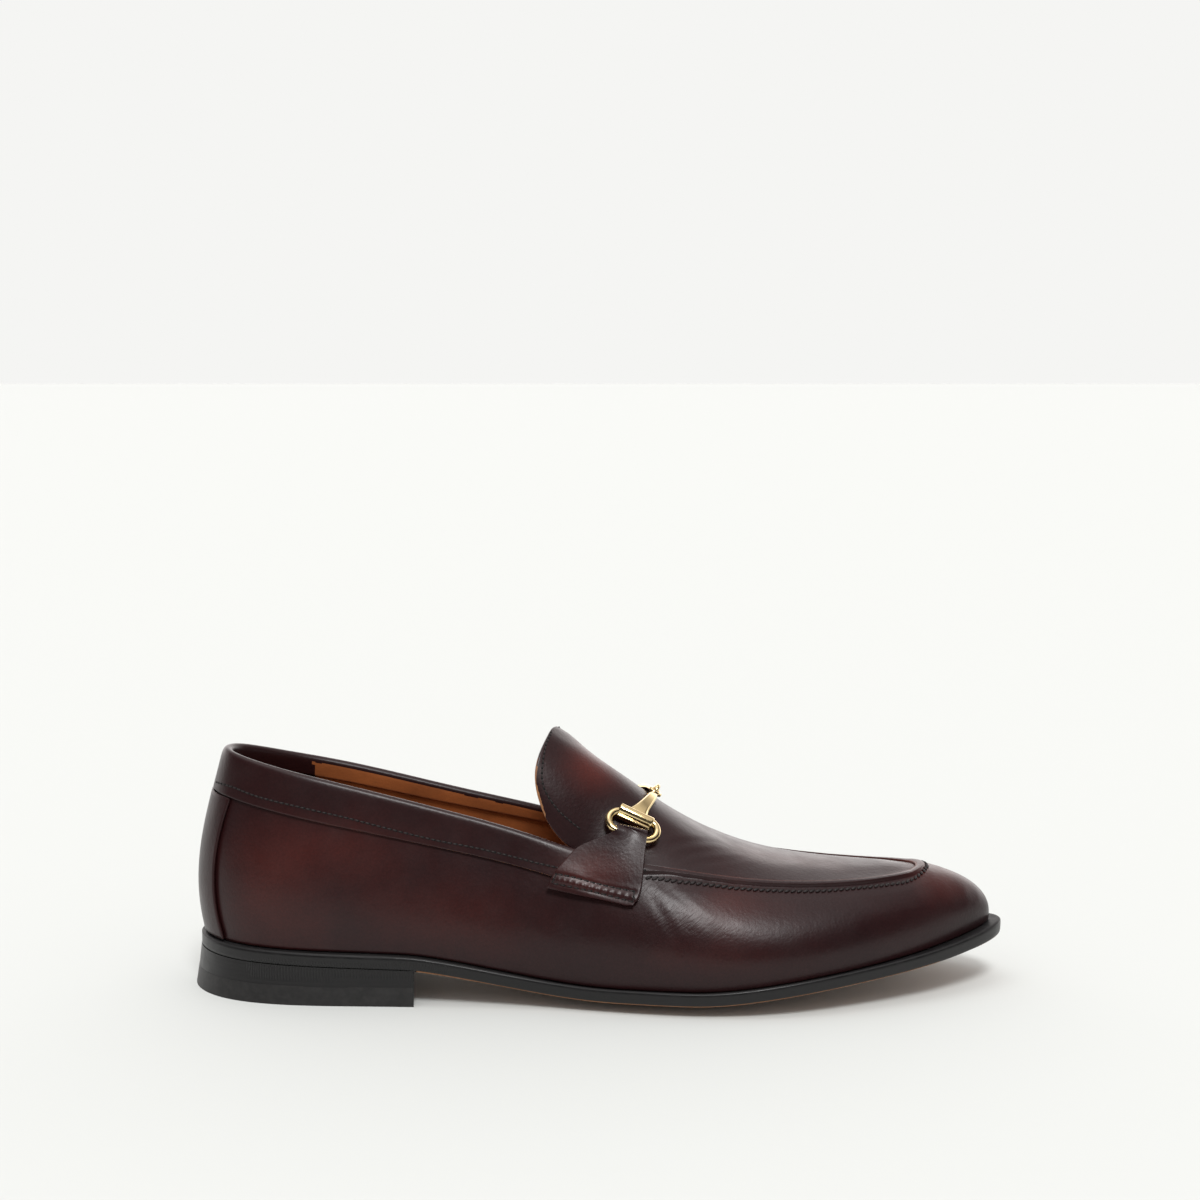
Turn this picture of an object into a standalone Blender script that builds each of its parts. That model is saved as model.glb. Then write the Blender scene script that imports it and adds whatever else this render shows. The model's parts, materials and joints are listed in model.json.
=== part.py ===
"""A man's bit loafer, the right shoe, standing empty on its sole.

Units are metres. In the tables and functions X runs from the back of the heel to
the toe, -Y is the outer (lateral) side and +Y the inner (medial) side, and Z is
the height over the floor. The parent empty moves that origin to the middle of the
footprint, so that the finished shoe is centred on X and Y and stands on Z = 0.
"""
import math

import bmesh
import bpy
import numpy as np
from mathutils import Vector
from mathutils.bvhtree import BVHTree

# Overall sizes of the shoe
LENGTH = 0.300  # outsole, back of the heel to the toe
BALL_WIDTH = 0.1000  # outsole, at the ball of the foot
COLLAR_HEIGHT = 0.0862  # top edge of the upper's wall at the back
TONGUE_HEIGHT = 0.0950  # top of the tongue
TOE_SPRING = 0.0175  # underside of the toe's tip over the floor

# Sole and heel
SOLE_THICKNESS = 0.0052
SOLE_EDGE_ROUND = 0.0006
HEEL_FRONT = 0.0128  # floor to the outsole at the heel's breast
HEEL_PITCH = 0.022  # rise of the heel seat towards the back
BREAST_AT = 0.084  # heel's breast, from the back of the heel
BREAST_HOLLOW = 0.0035  # how far the breast curves back at its middle
HEEL_FLARE = 0.0022  # the heel's foot stands out past its top at the back
TOP_PIECE = 0.0064  # rubber under the heel stack
BALL_BACK = 0.158  # start of the flat tread
BALL_FRONT = 0.187  # end of the flat tread
EDGE_LIFT = 0.0038  # sole's edge over the flat tread, across the ball
FLAT_SHARE = 0.45  # part of the half width that lies flat
WELT = 0.0026  # sole past the upper at the sides
TOE_WELT = 0.0048  # sole past the upper at the toe

# Leather
WALL = 0.0018  # upper and lining together
APRON_WALL = 0.0017
OVERLAY = 0.0009  # collar band and heel counter
STRAP_WALL = 0.0013
INSOLE_THICKNESS = 0.0026
GAP = 0.0003  # between neighbouring pieces
LIP_HEIGHT = 0.0015  # raised seam round the apron
LIP_WIDTH = 0.0028
BAND_WIDTH = 0.0132  # collar band, down the outside
BAND_INSIDE = 0.0050  # collar band, down the inside
COUNTER_HALF = 0.0205  # heel counter, half its width at the waist
COUNTER_FLARE = 0.0035  # more half width at the counter's foot and top

# Bit
RING_WIRE = 0.0014  # radius
RING_STRAIGHT = 0.0106
RING_BEND = 0.0043  # radius of the ring's round ends
BARREL_LENGTH = 0.0122
BARREL_RADIUS = 0.0023
BARREL_HOLE = 0.00175  # radius
ARM_THICKNESS = 0.0015
ARM_NECK = 0.0046
ARM_TIP = 0.0030
EYE_RADIUS = 0.00195
EYE_WIRE = 0.0008
BIT_AT = 0.5645  # bit's middle, share of LENGTH
BIT_SWEEP = 0.0230  # how far back each barrel lies from the middle, share of LENGTH
BARREL_OUT = 0.378  # barrel from the middle, share of HALF
BIT_TWIST = 20  # barrels turned from square to the bit, degrees
STRAP_TOP = 0.0112  # width of the strap's fold round the ring

# Mesh steps
SIDE_STEPS = 39  # stations along each side, a multiple of the section table's steps
WALL_STEPS = 8  # levels up the upper's wall

HALF = BALL_WIDTH / 2

# One row for each section from the back of the heel (first) to the toe (last).
# along: the sole's outline, share of LENGTH. lat, med: its half widths, share of HALF.
# t_along, t_lat, t_med: the wall's top edge, shares of LENGTH and HALF, which is the
# collar's rim as far as row 6 and the apron's seam from there to the toe.
# t_high_l, t_high_m: height of that edge on each side, share of COLLAR_HEIGHT.
# lean_l, lean_m: the wall's outward lean at the sole, degrees. lean_t: its inward
# lean at the top edge. full_s, full_t: how far each lean is held, share of the wall.
SECTION_COLUMNS = ("along", "lat", "med", "t_along", "t_lat", "t_med",
                   "t_high_l", "t_high_m", "lean_l", "lean_m", "lean_t", "full_s", "full_t")
SECTIONS = (
    (0.0095, 0.000, 0.000, 0.0432, 0.000, 0.000, 1.000, 1.000, 14, 14, 15, 0.36, 0.36),
    (0.0380, 0.400, 0.394, 0.0600, 0.220, 0.220, 0.988, 0.984, 13, 13, 14, 0.36, 0.36),
    (0.0933, 0.596, 0.572, 0.1100, 0.386, 0.386, 0.952, 0.934, 11, 12, 13, 0.36, 0.36),
    (0.1933, 0.688, 0.596, 0.2000, 0.466, 0.460, 0.882, 0.866, 9, 15, 12, 0.36, 0.36),
    (0.2800, 0.714, 0.530, 0.3130, 0.490, 0.484, 0.784, 0.768, 9, 22, 12, 0.36, 0.36),
    (0.4200, 0.784, 0.532, 0.4230, 0.546, 0.540, 0.680, 0.674, 12, 21, 18, 0.37, 0.36),
    (0.4867, 0.866, 0.620, 0.4900, 0.614, 0.610, 0.618, 0.614, 15, 19, 30, 0.38, 0.37),
    (0.5633, 0.966, 0.790, 0.5670, 0.650, 0.650, 0.586, 0.582, 19, 20, 46, 0.39, 0.39),
    (0.6467, 1.020, 0.940, 0.6500, 0.610, 0.616, 0.537, 0.528, 21, 21, 56, 0.39, 0.41),
    (0.7300, 0.974, 0.970, 0.7270, 0.530, 0.545, 0.505, 0.490, 20, 21, 62, 0.38, 0.43),
    (0.8133, 0.800, 0.836, 0.8000, 0.420, 0.446, 0.494, 0.475, 18, 19, 68, 0.36, 0.45),
    (0.8900, 0.575, 0.640, 0.8567, 0.274, 0.318, 0.492, 0.480, 16, 17, 76, 0.33, 0.48),
    (0.9533, 0.315, 0.430, 0.8880, 0.136, 0.196, 0.491, 0.487, 15, 15, 81, 0.31, 0.54),
    (1.0000, 0.000, 0.060, 0.8993, 0.000, 0.036, 0.490, 0.490, 14, 14, 84, 0.31, 0.56),
)
LAST_ROW = len(SECTIONS) - 1
CORNER_ROW = 6  # where the collar's rim meets the apron's seam

# One row for each rib of the apron and tongue, from the tongue's end to the toe.
# r_along, r_high: the crown, shares of LENGTH and TONGUE_HEIGHT. row: the section row
# whose top edge the rib ends at, or None on the free tongue, where e_along, e_half
# and e_high give its end as shares of LENGTH, HALF and TONGUE_HEIGHT. inset: how far
# inside the top edge the rib ends, share of WALL. rise: slope at its end, degrees.
# bow: how far the rib's middle bows back, share of LENGTH.
APRON_COLUMNS = ("r_along", "r_high", "row", "e_along", "e_half", "e_high",
                 "inset", "rise", "bow")
APRON = (
    (0.4430, 1.000, None, 0.4270, 0.440, 0.770, 0.00, 84, -0.0200),
    (0.4700, 0.943, None, 0.4400, 0.500, 0.672, 0.00, 84, -0.0100),
    (0.5030, 0.868, None, 0.4640, 0.530, 0.590, 0.00, 80, -0.0030),
    (0.5400, 0.787, 6.00, 0, 0, 0, 1.80, 70, 0.0),
    (0.5730, 0.708, 6.50, 0, 0, 0, 1.00, 57, 0.0),
    (0.6100, 0.631, 7.00, 0, 0, 0, 0.20, 40, 0.0),
    (0.6530, 0.560, 7.55, 0, 0, 0, 0.00, 26, 0.0),
    (0.7000, 0.509, 8.20, 0, 0, 0, 0.00, 16, 0.0),
    (0.7470, 0.482, 9.00, 0, 0, 0, 0.00, 11, 0.0),
    (0.7930, 0.472, 9.80, 0, 0, 0, 0.00, 8, 0.0),
    (0.8350, 0.466, 10.60, 0, 0, 0, 0.00, 6, 0.0),
    (0.8680, 0.461, 11.30, 0, 0, 0, 0.00, 5, 0.0),
)
APRON_FRONT_ROW = 12.0  # the apron's blunt front runs round the seam from here
APRON_RIBS = 18
APRON_ACROSS = 14

# Side strap below its fold, seen from the side. Each row is a level from its sewn end
# (first) to the fold (last). back, front: its two edges, shares of LENGTH. back_high,
# front_high: their heights, shares of COLLAR_HEIGHT.
STRAP_COLUMNS = ("back", "back_high", "front", "front_high")
STRAP = (
    (0.4390, 0.505, 0.5430, 0.437),
    (0.4500, 0.574, 0.5500, 0.500),
    (0.4740, 0.650, 0.5530, 0.570),
)

LATERAL, MEDIAL = -1, 1


def smooth(value):
    """0 below 0, 1 above 1, and a smooth rise between."""
    v = np.clip(value, 0.0, 1.0)
    return v * v * (3 - 2 * v)


class Spline:
    """A smooth curve through values at increasing knots, closed or open."""

    def __init__(self, knots, values, closed):
        self.knots = np.array(knots, float)
        self.values = np.array(values, float)
        self.closed = closed
        steps = np.diff(self.knots)
        n = len(steps) if closed else len(self.knots)
        system = np.zeros((n, n))
        right = np.zeros((n,) + self.values.shape[1:])
        for i in range(n):
            if not closed and i in (0, n - 1):
                system[i, i] = 1.0
                continue
            before = steps[i - 1]
            after = steps[i]
            system[i, i - 1] += before
            system[i, i] += 2 * (before + after)
            system[i, (i + 1) % n] += after
            rise_after = (self.values[i + 1] - self.values[i]) / after
            last = self.values[i - 1] if i else self.values[-2]
            right[i] = 6 * (rise_after - (self.values[i] - last) / before)
        bend = np.linalg.solve(system, right)
        self.bend = np.concatenate([bend, bend[:1]]) if closed else bend

    def at(self, where):
        """The curve's values at these places."""
        k = self.knots
        if self.closed:
            where = k[0] + np.mod(np.asarray(where, float) - k[0], k[-1] - k[0])
        where = np.atleast_1d(np.asarray(where, float))
        i = np.clip(np.searchsorted(k, where, side="right") - 1, 0, len(k) - 2)
        step = k[i + 1] - k[i]
        a = (k[i + 1] - where) / step
        b = 1 - a
        shape = (-1,) + (1,) * (self.values.ndim - 1)
        a, b, step = a.reshape(shape), b.reshape(shape), step.reshape(shape)
        return (a * self.values[i] + b * self.values[i + 1]
                + ((a**3 - a) * self.bend[i] + (b**3 - b) * self.bend[i + 1]) * step**2 / 6)


def outline_rows():
    """The section rows in order round the shoe: out along the lateral side, back along
    the medial side, each with its side."""
    out = [(row, LATERAL) for row in range(LAST_ROW + 1)]
    return out + [(row, MEDIAL) for row in range(LAST_ROW - 1, -1, -1)]


def section_values():
    """All that the sections give, as one array with a line for each row of the outline."""
    lines = []
    for row, side in outline_rows():
        s = dict(zip(SECTION_COLUMNS, SECTIONS[row]))
        half, t_half, high, lean = (
            (-s["lat"], -s["t_lat"], s["t_high_l"], s["lean_l"]) if side == LATERAL
            else (s["med"], s["t_med"], s["t_high_m"], s["lean_m"]))
        if row == LAST_ROW:
            half, t_half = s["med"], s["t_med"]
        lines.append((s["along"] * LENGTH, half * HALF,
                      s["t_along"] * LENGTH, t_half * HALF, high * COLLAR_HEIGHT,
                      math.radians(lean), math.radians(s["lean_t"]), s["full_s"], s["full_t"]))
    return np.array(lines)


VALUES = section_values()
KNOTS = np.concatenate([[0.0], np.cumsum(np.linalg.norm(np.diff(VALUES[:, :2], axis=0), axis=1))])
ROUND = Spline(KNOTS, VALUES, closed=True)
TURN = KNOTS[-1]  # length once round the outline


def place(side, row):
    """Where a fractional section row of one side lies along the outline."""
    row = np.asarray(row, float)
    index = row if side == LATERAL else 2 * LAST_ROW - row
    return np.interp(index, np.arange(len(KNOTS)), KNOTS)


def unit(vectors):
    """The same directions, one long."""
    return vectors / np.linalg.norm(vectors, axis=-1, keepdims=True)


def outward(where, first):
    """Outward horizontal direction of the outline (first 0) or the top edge (first 2)."""
    step = TURN * 1e-4
    d = (ROUND.at(where + step) - ROUND.at(where - step))[:, first:first + 2]
    return unit(np.stack([d[:, 1], -d[:, 0]], axis=1))


def welt_at(where):
    """How far the sole stands out past the upper there."""
    x = ROUND.at(where)[:, 0]
    return WELT + (TOE_WELT - WELT) * smooth((x / LENGTH - 0.80) / 0.18)


def tread_line(x):
    """Height of the outsole's underside on its middle line."""
    x = np.asarray(x, float)
    heel = HEEL_FRONT + HEEL_PITCH * (BREAST_AT - x)
    v = np.clip((x - BREAST_AT) / (BALL_BACK - BREAST_AT), 0, 1)
    waist_drop = -0.10 * (BALL_BACK - BREAST_AT)
    waist = HEEL_FRONT * (1 - v) ** 2 * (1 + 2 * v) + waist_drop * v * (1 - v) ** 2
    u = np.clip((x - BALL_FRONT) / (LENGTH - BALL_FRONT), 0, None)
    return np.where(x < BREAST_AT, heel, waist) + TOE_SPRING * u**1.3


def edge_lift(x, share):
    """How much the sole curls up towards its edge; share is 1 at the edge."""
    along = smooth((x - LENGTH * 0.32) / (LENGTH * 0.22)) * (1 - smooth((x - LENGTH * 0.70) / (LENGTH * 0.28)))
    across = np.clip((np.abs(share) - FLAT_SHARE) / (1 - FLAT_SHARE), 0, None)
    return EDGE_LIFT * along * across**2


def sole_edge(where, level):
    """A line round the sole's edge. level is 0 at its top and 1 at its underside."""
    v = ROUND.at(where)
    n = outward(where, 0)
    flat = v[:, :2]
    z = tread_line(flat[:, 0]) + edge_lift(flat[:, 0], 1.0) + SOLE_THICKNESS * (1 - level)
    return flat, n, z


def feather(where):
    """The line where the upper meets the sole, on the upper's outer face."""
    v = ROUND.at(where)
    flat = v[:, :2] - outward(where, 0) * welt_at(where)[:, None]
    share = 1 - welt_at(where) / HALF
    z = tread_line(flat[:, 0]) + edge_lift(flat[:, 0], share) + SOLE_THICKNESS + GAP
    return np.column_stack([flat, z])


def wall(where, level):
    """Outer face of the upper: level 0 is the feather line and 1 is the top edge."""
    where = np.atleast_1d(np.asarray(where, float))
    level = np.broadcast_to(np.asarray(level, float), where.shape)[:, None]
    v = ROUND.at(where)
    foot = feather(where)
    top = v[:, 2:5]
    long = np.linalg.norm(top - foot, axis=1)[:, None]
    lean_s, lean_t = v[:, 5:6], v[:, 6:7]
    up = np.array([[0.0, 0.0, 1.0]])
    n_foot = np.column_stack([outward(where, 0), np.zeros(len(where))])
    n_top = np.column_stack([outward(where, 2), np.zeros(len(where))])
    low = foot + long * v[:, 7:8] * (n_foot * np.sin(lean_s) + up * np.cos(lean_s))
    high = top + long * v[:, 8:9] * (n_top * np.sin(lean_t) - up * np.cos(lean_t))
    a = 1 - level
    return a**3 * foot + 3 * a * a * level * low + 3 * a * level * level * high + level**3 * top


def wall_normal(where, level):
    """Outward direction of the upper's outer face."""
    step = 1e-3
    level = np.clip(np.broadcast_to(np.asarray(level, float), np.shape(where)), step, 1 - step)
    round_ = wall(where + TURN * 2e-4, level) - wall(where - TURN * 2e-4, level)
    up = wall(where, level + step) - wall(where, level - step)
    return unit(np.cross(round_, up))


def wall_length(where):
    """Length of the wall from the sole to its top edge, along its outer face."""
    levels = np.linspace(0, 1, 9)
    points = np.stack([wall(where, t) for t in levels])
    return np.linalg.norm(np.diff(points, axis=0), axis=2).sum(axis=0)


def stations(side, first, last, count):
    """Places along the outline between two section rows of one side."""
    return place(side, np.linspace(first, last, count + 1))


def once_round():
    """Places all round the outline, from the back of the heel out along the lateral side."""
    lateral = stations(LATERAL, 0, LAST_ROW, SIDE_STEPS)
    medial = stations(MEDIAL, LAST_ROW, 0, SIDE_STEPS)
    return np.concatenate([lateral[:-1], medial[:-1]])


def mesh_object(name, points, faces, material):
    """A mesh object from points and faces, with its normals pointing out."""
    mesh = bpy.data.meshes.new(name)
    bm = bmesh.new()
    corners = [bm.verts.new(p) for p in points]
    for face in faces:
        if len(set(face)) == len(face):
            bm.faces.new([corners[i] for i in face])
    bmesh.ops.remove_doubles(bm, verts=bm.verts, dist=1e-6)
    bmesh.ops.recalc_face_normals(bm, faces=bm.faces)
    bm.to_mesh(mesh)
    bm.free()
    obj = bpy.data.objects.new(name, mesh)
    obj.data.materials.append(material)
    obj.data.shade_smooth()
    obj.data.set_sharp_from_angle(angle=math.radians(40))
    return obj


def grid_faces(rows, columns, closed=False, start=0):
    """Quads of a grid of points stored row by row; closed joins the last row to the first."""
    faces = []
    for i in range(rows if closed else rows - 1):
        for j in range(columns - 1):
            a = i * columns + j
            b = (i + 1) % rows * columns + j
            faces.append((start + a, start + b, start + b + 1, start + a + 1))
    return faces


def loops_solid(name, loops, material, closed=True):
    """A solid whose skin runs through closed loops of points, joined first to last and
    capped at its ends where closed is off."""
    count = len(loops[0])
    points = np.concatenate(loops)
    faces = []
    for i in range(len(loops) if closed else len(loops) - 1):
        a = i * count
        b = (i + 1) % len(loops) * count
        for j in range(count):
            k = (j + 1) % count
            faces.append((a + j, b + j, b + k, a + k))
    if not closed:
        faces.append(tuple(range(count)))
        faces.append(tuple(range((len(loops) - 1) * count, len(loops) * count))[::-1])
    return mesh_object(name, points, faces, material)


def add_shell(obj, thickness):
    """Thickens an open surface on the side its normals point to."""
    shell = obj.modifiers.new("thickness", "SOLIDIFY")
    shell.thickness = thickness
    shell.offset = 1.0
    shell.use_even_offset = True
    return obj


def open_surface(name, grid, material, thickness, outside):
    """A sheet through a grid of points, thickened towards its outside. outside is a
    direction that the sheet's first face has to look along."""
    rows, columns = grid.shape[:2]
    faces = grid_faces(rows, columns)
    a, b, c = (grid.reshape(-1, 3)[i] for i in faces[len(faces) // 2][:3])
    if np.dot(np.cross(b - a, c - a), outside) < 0:
        faces = [face[::-1] for face in faces]
    mesh = bpy.data.meshes.new(name)
    mesh.from_pydata([tuple(p) for p in grid.reshape(-1, 3)], [], faces)
    mesh.update()
    obj = bpy.data.objects.new(name, mesh)
    obj.data.materials.append(material)
    obj.data.shade_smooth()
    return add_shell(obj, thickness)


def upper(material):
    """Vamp and quarters: a hollow wall all round, open at the collar, under the apron and
    underneath, with the raised seam standing on its edge round the apron."""
    where = once_round()
    long = wall_length(where)
    lip_share = LIP_WIDTH / long
    x_top = ROUND.at(where)[:, 2]
    corner = SECTIONS[CORNER_ROW][3] * LENGTH
    lip = LIP_HEIGHT * smooth((x_top - corner - LENGTH * 0.02) / (LENGTH * 0.04))
    levels = [np.full(len(where), t) for t in np.linspace(0, 1, WALL_STEPS + 1)[:-1] * 0.94]
    lifts = [0.0 * lip] * len(levels)
    for share, lift in ((1.28, 0.0), (1.0, 1.0), (0.45, 1.15), (0.0, 0.9)):
        levels.append(1 - share * lip_share)
        lifts.append(lip * lift)
    outer = [wall(where, t) + wall_normal(where, t) * lift[:, None] for t, lift in zip(levels, lifts)]
    inner = []
    for number, t in enumerate(levels):
        into = wall_normal(where, t)
        if number >= WALL_STEPS:
            into[:, 2] += 0.8 * lip / LIP_HEIGHT
            into = unit(into)
        inner.append(wall(where, t) - into * WALL)
    inner[0][:, 2] = outer[0][:, 2]
    return loops_solid("upper", outer + inner[::-1], material)


def ring_levels(count):
    """Shares of the half width for the rings of a flat face, from the edge to the middle."""
    return [*np.linspace(1.0, FLAT_SHARE, count), FLAT_SHARE / 2, 0.0]


def middle(where):
    """The sole's middle line, opposite each place on its outline."""
    row = np.interp(where, KNOTS, np.arange(len(KNOTS)))
    row = np.where(row > LAST_ROW, 2 * LAST_ROW - row, row)
    lateral = ROUND.at(place(LATERAL, row))[:, :2]
    medial = ROUND.at(place(MEDIAL, row))[:, :2]
    mid = (lateral + medial) / 2
    mid[:, 0] = np.clip(mid[:, 0], LENGTH * 0.10, LENGTH * 0.94)
    heel = smooth((mid[:, 0] / LENGTH - 0.10) / 0.04)[:, None]
    return mid * np.array([1.0, 0.0]) + mid * np.array([0.0, 1.0]) * heel


def flat_rings(where, edge, shares, height):
    """Rings of a face from its edge inwards; height gives z from x and the share."""
    mid = middle(where)
    rings = []
    for share in shares:
        flat = mid + (edge - mid) * share
        rings.append(np.column_stack([flat, height(flat[:, 0], share)]))
    return rings


def stacked_solid(name, rings, material):
    """A solid whose skin runs through rings from the middle of its top to the middle of
    its underside."""
    count = len(rings[0])
    faces = []
    for i in range(len(rings) - 1):
        for j in range(count):
            k = (j + 1) % count
            faces.append((i * count + j, (i + 1) * count + j, (i + 1) * count + k, i * count + k))
    return mesh_object(name, np.concatenate(rings), faces, material)


def outsole(material):
    """Leather outsole: arched waist, flat tread at the ball, edge curled up, toe spring."""
    where = once_round()
    edge, n, _ = sole_edge(where, 0)
    inner_edge = edge - n * SOLE_EDGE_ROUND
    shares = ring_levels(3)
    top = flat_rings(where, inner_edge, shares, lambda x, share: (
        tread_line(x) + edge_lift(x, share) + SOLE_THICKNESS))
    under = flat_rings(where, inner_edge, shares, lambda x, share: (
        tread_line(x) + edge_lift(x, share)))
    side = []
    for level in (SOLE_EDGE_ROUND / SOLE_THICKNESS, 1 - SOLE_EDGE_ROUND / SOLE_THICKNESS):
        flat, _, z = sole_edge(where, level)
        side.append(np.column_stack([flat, z]))
    return stacked_solid("outsole", top[::-1] + side + under, material)


def heel_outline(level):
    """Outline of the heel at a level, 0 at its top and 1 at the floor, from one end of
    the breast round the back to the other end."""
    points = []
    for side in (LATERAL, MEDIAL):
        rows = np.linspace(0, LAST_ROW, 400)
        x = ROUND.at(place(side, rows))[:, 0]
        end = np.interp(BREAST_AT, x, rows)
        where = stations(side, 0, end, 14)
        flat = ROUND.at(where)[:, :2]
        flare = HEEL_FLARE * level * (1 - smooth(flat[:, 0] / BREAST_AT) * 0.7)
        flat = flat + outward(where, 0) * flare[:, None]
        points.append(flat)
    lateral, medial = points
    breast = np.linspace(0, 1, 7)[1:-1]
    across = lateral[-1] + (medial[-1] - lateral[-1]) * breast[:, None]
    across[:, 0] -= BREAST_HOLLOW * np.sin(np.pi * breast)
    return np.concatenate([lateral[::-1], medial[1:], across[::-1]])


def heel_layer(name, low, high, material):
    """A layer of the heel between two height functions of the outline's points."""
    whole = HEEL_FRONT
    loops = []
    for height in (low, high):
        level = 1 - np.clip(height(np.array([[BREAST_AT, 0.0]]))[0] / whole, 0, 1)
        flat = heel_outline(level)
        loops.append(np.column_stack([flat, height(flat)]))
    return loops_solid(name, loops, material, closed=False)


def heel(stack_material, rubber_material):
    """The heel stack and the rubber top piece under it."""

    def seat(flat):
        """Just under the outsole."""
        return tread_line(flat[:, 0]) - GAP

    def split(flat):
        """Top of the rubber."""
        return np.full(len(flat), TOP_PIECE)

    def above_split(flat):
        """Underside of the stack."""
        return np.full(len(flat), TOP_PIECE + GAP)

    def floor(flat):
        """What the heel stands on."""
        return np.zeros(len(flat))

    return [heel_layer("heel_stack", above_split, seat, stack_material),
            heel_layer("heel_top_piece", floor, split, rubber_material)]


def insole(material):
    """Leather sock on the outsole, inside the upper."""
    where = once_round()
    edge = feather(where)[:, :2] - outward(where, 0) * (WALL * 1.1 + GAP)
    shares = (1.0, FLAT_SHARE, 0.0)
    base = SOLE_THICKNESS + GAP
    under = flat_rings(where, edge, shares, lambda x, share: (
        tread_line(x) + edge_lift(x, share * 0.93) + base))
    top = flat_rings(where, edge, shares, lambda x, share: (
        tread_line(x) + edge_lift(x, share * 0.93) + base + INSOLE_THICKNESS))
    return stacked_solid("insole", top[::-1] + under, material)


def rib_end(a, side):
    """Where a rib ends on one side."""
    if a["row"] is None:
        return np.array([a["e_along"] * LENGTH, side * a["e_half"] * HALF,
                         a["e_high"] * TONGUE_HEIGHT])
    where = np.atleast_1d(place(side, a["row"]))
    n = np.append(outward(where, 2)[0], 0.0)
    end = wall(where, 1.0)[0] - n * (a["inset"] * WALL + GAP)
    end[2] -= 0.35 * a["inset"] * WALL
    return end


def apron_rib(row, side):
    """One rib of the apron from its crown to its end: crown, two handles and end."""
    a = dict(zip(APRON_COLUMNS, row))
    end = rib_end(a, side)
    middle_y = (end[1] + rib_end(a, -side)[1]) / 2
    crown = np.array([a["r_along"] * LENGTH, middle_y, a["r_high"] * TONGUE_HEIGHT])
    rise = math.radians(a["rise"])
    reach = abs(end[1] - middle_y)
    climb = 0.40 * math.hypot(reach, crown[2] - end[2])
    back = 0.8 * (crown[0] - end[0]) / math.hypot(reach, crown[2] - end[2])
    handle = end + climb * np.array([back, -side * math.cos(rise), math.sin(rise)])
    handle[0] += a["bow"] * LENGTH
    shoulder = crown + np.array([0.0, side * reach * 0.54, 0.0])
    return np.stack([crown, shoulder, handle, end])


def bezier(four, share):
    """Points on the cubic curve of four control points."""
    t = np.asarray(share, float)[:, None]
    a = 1 - t
    return a**3 * four[0] + 3 * a * a * t * four[1] + 3 * a * t * t * four[2] + t**3 * four[3]


def apron_grid():
    """Points of the apron and tongue's outer face, a row for each rib, from side to side."""
    half = APRON_ACROSS // 2
    share = np.linspace(0, 1, half + 1)
    ribs = {}
    for side in (LATERAL, MEDIAL):
        controls = np.stack([apron_rib(row, side) for row in APRON])
        knots = np.arange(len(APRON), dtype=float)
        spline = Spline(knots, controls.reshape(len(APRON), -1), closed=False)
        fine = spline.at(np.linspace(0, knots[-1], APRON_RIBS)).reshape(-1, 4, 3)
        ribs[side] = np.stack([bezier(four, share) for four in fine])
    grid = np.concatenate([ribs[LATERAL][:, ::-1], ribs[MEDIAL][:, 1:]], axis=1)
    front = []
    for side in (LATERAL, MEDIAL):
        where = stations(side, APRON_FRONT_ROW, LAST_ROW, half)
        n = np.column_stack([outward(where, 2), np.zeros(len(where))])
        front.append(wall(where, 1.0) - n * GAP)
    arc = np.concatenate([front[0], front[1][::-1][1:]])
    return np.concatenate([grid, arc[None]])


def apron_tongue(material):
    """The apron and the tongue that it runs back into, one piece of leather."""
    grid = apron_grid()
    obj = open_surface("apron_tongue", grid, material, APRON_WALL, (0, 0, -1.0))
    return obj


def back_counter(material):
    """The counter over the back seam: narrow at its waist, wider above and below."""
    levels = np.linspace(0.012, 1, 9)
    rows = []
    for level in levels:
        long = wall_length(np.array([0.0]))[0]
        top = 1 - (BAND_WIDTH + 2 * GAP) / long
        t = level * top
        half = COUNTER_HALF + COUNTER_FLARE * (2 * level - 1) ** 2
        where = np.linspace(-half, half, 11)
        rows.append(wall(where, t) + wall_normal(where, t) * GAP)
    return open_surface("heel_counter", np.stack(rows), material, OVERLAY, (-1.0, 0, 0))


def band_path(where):
    """The collar band's inner face at one place: up the outside, over the rim and down
    the inside."""
    long = wall_length(where)[:, None]
    path = []
    for drop in np.linspace(BAND_WIDTH, 0, 4):
        t = 1 - drop / long[:, 0]
        path.append(wall(where, t) + wall_normal(where, t) * GAP)
    rim = wall(where, 1.0)
    n = wall_normal(where, 1.0)
    up = unit(np.cross(n, unit(wall(where + TURN * 2e-4, 1.0) - wall(where - TURN * 2e-4, 1.0))))
    up = np.where(up[:, 2:3] < 0, -up, up)
    centre = rim - n * WALL / 2
    radius = WALL / 2 + GAP
    for angle in np.radians((50, 90, 130)):
        path.append(centre + n * radius * math.cos(angle) + up * radius * math.sin(angle))
    for drop in (0.0, BAND_INSIDE):
        t = 1 - drop / long[:, 0]
        path.append(wall(where, t) - wall_normal(where, t) * (WALL + GAP))
    return np.stack(path, axis=1)


def collar_band(material):
    """The band folded over the collar's rim, from one throat corner round the heel to the
    other."""
    steps = 15
    lateral = stations(LATERAL, CORNER_ROW - 0.1, 0, steps)
    medial = stations(MEDIAL, 0, CORNER_ROW - 0.1, steps)
    where = np.concatenate([lateral, medial[1:]])
    grid = band_path(where)
    return open_surface("collar_band", grid, material, OVERLAY, (0, 0, 1.0))


def search_tree(objects):
    """A search tree over the surfaces of these objects as they are evaluated."""
    bpy.context.view_layer.update()
    graph = bpy.context.evaluated_depsgraph_get()
    points, faces = [], []
    for obj in objects:
        evaluated = obj.evaluated_get(graph)
        mesh = evaluated.to_mesh()
        first = len(points)
        points.extend(v.co.copy() for v in mesh.vertices)
        faces.extend([first + i for i in face.vertices] for face in mesh.polygons)
        evaluated.to_mesh_clear()
    return BVHTree.FromPolygons(points, faces)


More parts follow.
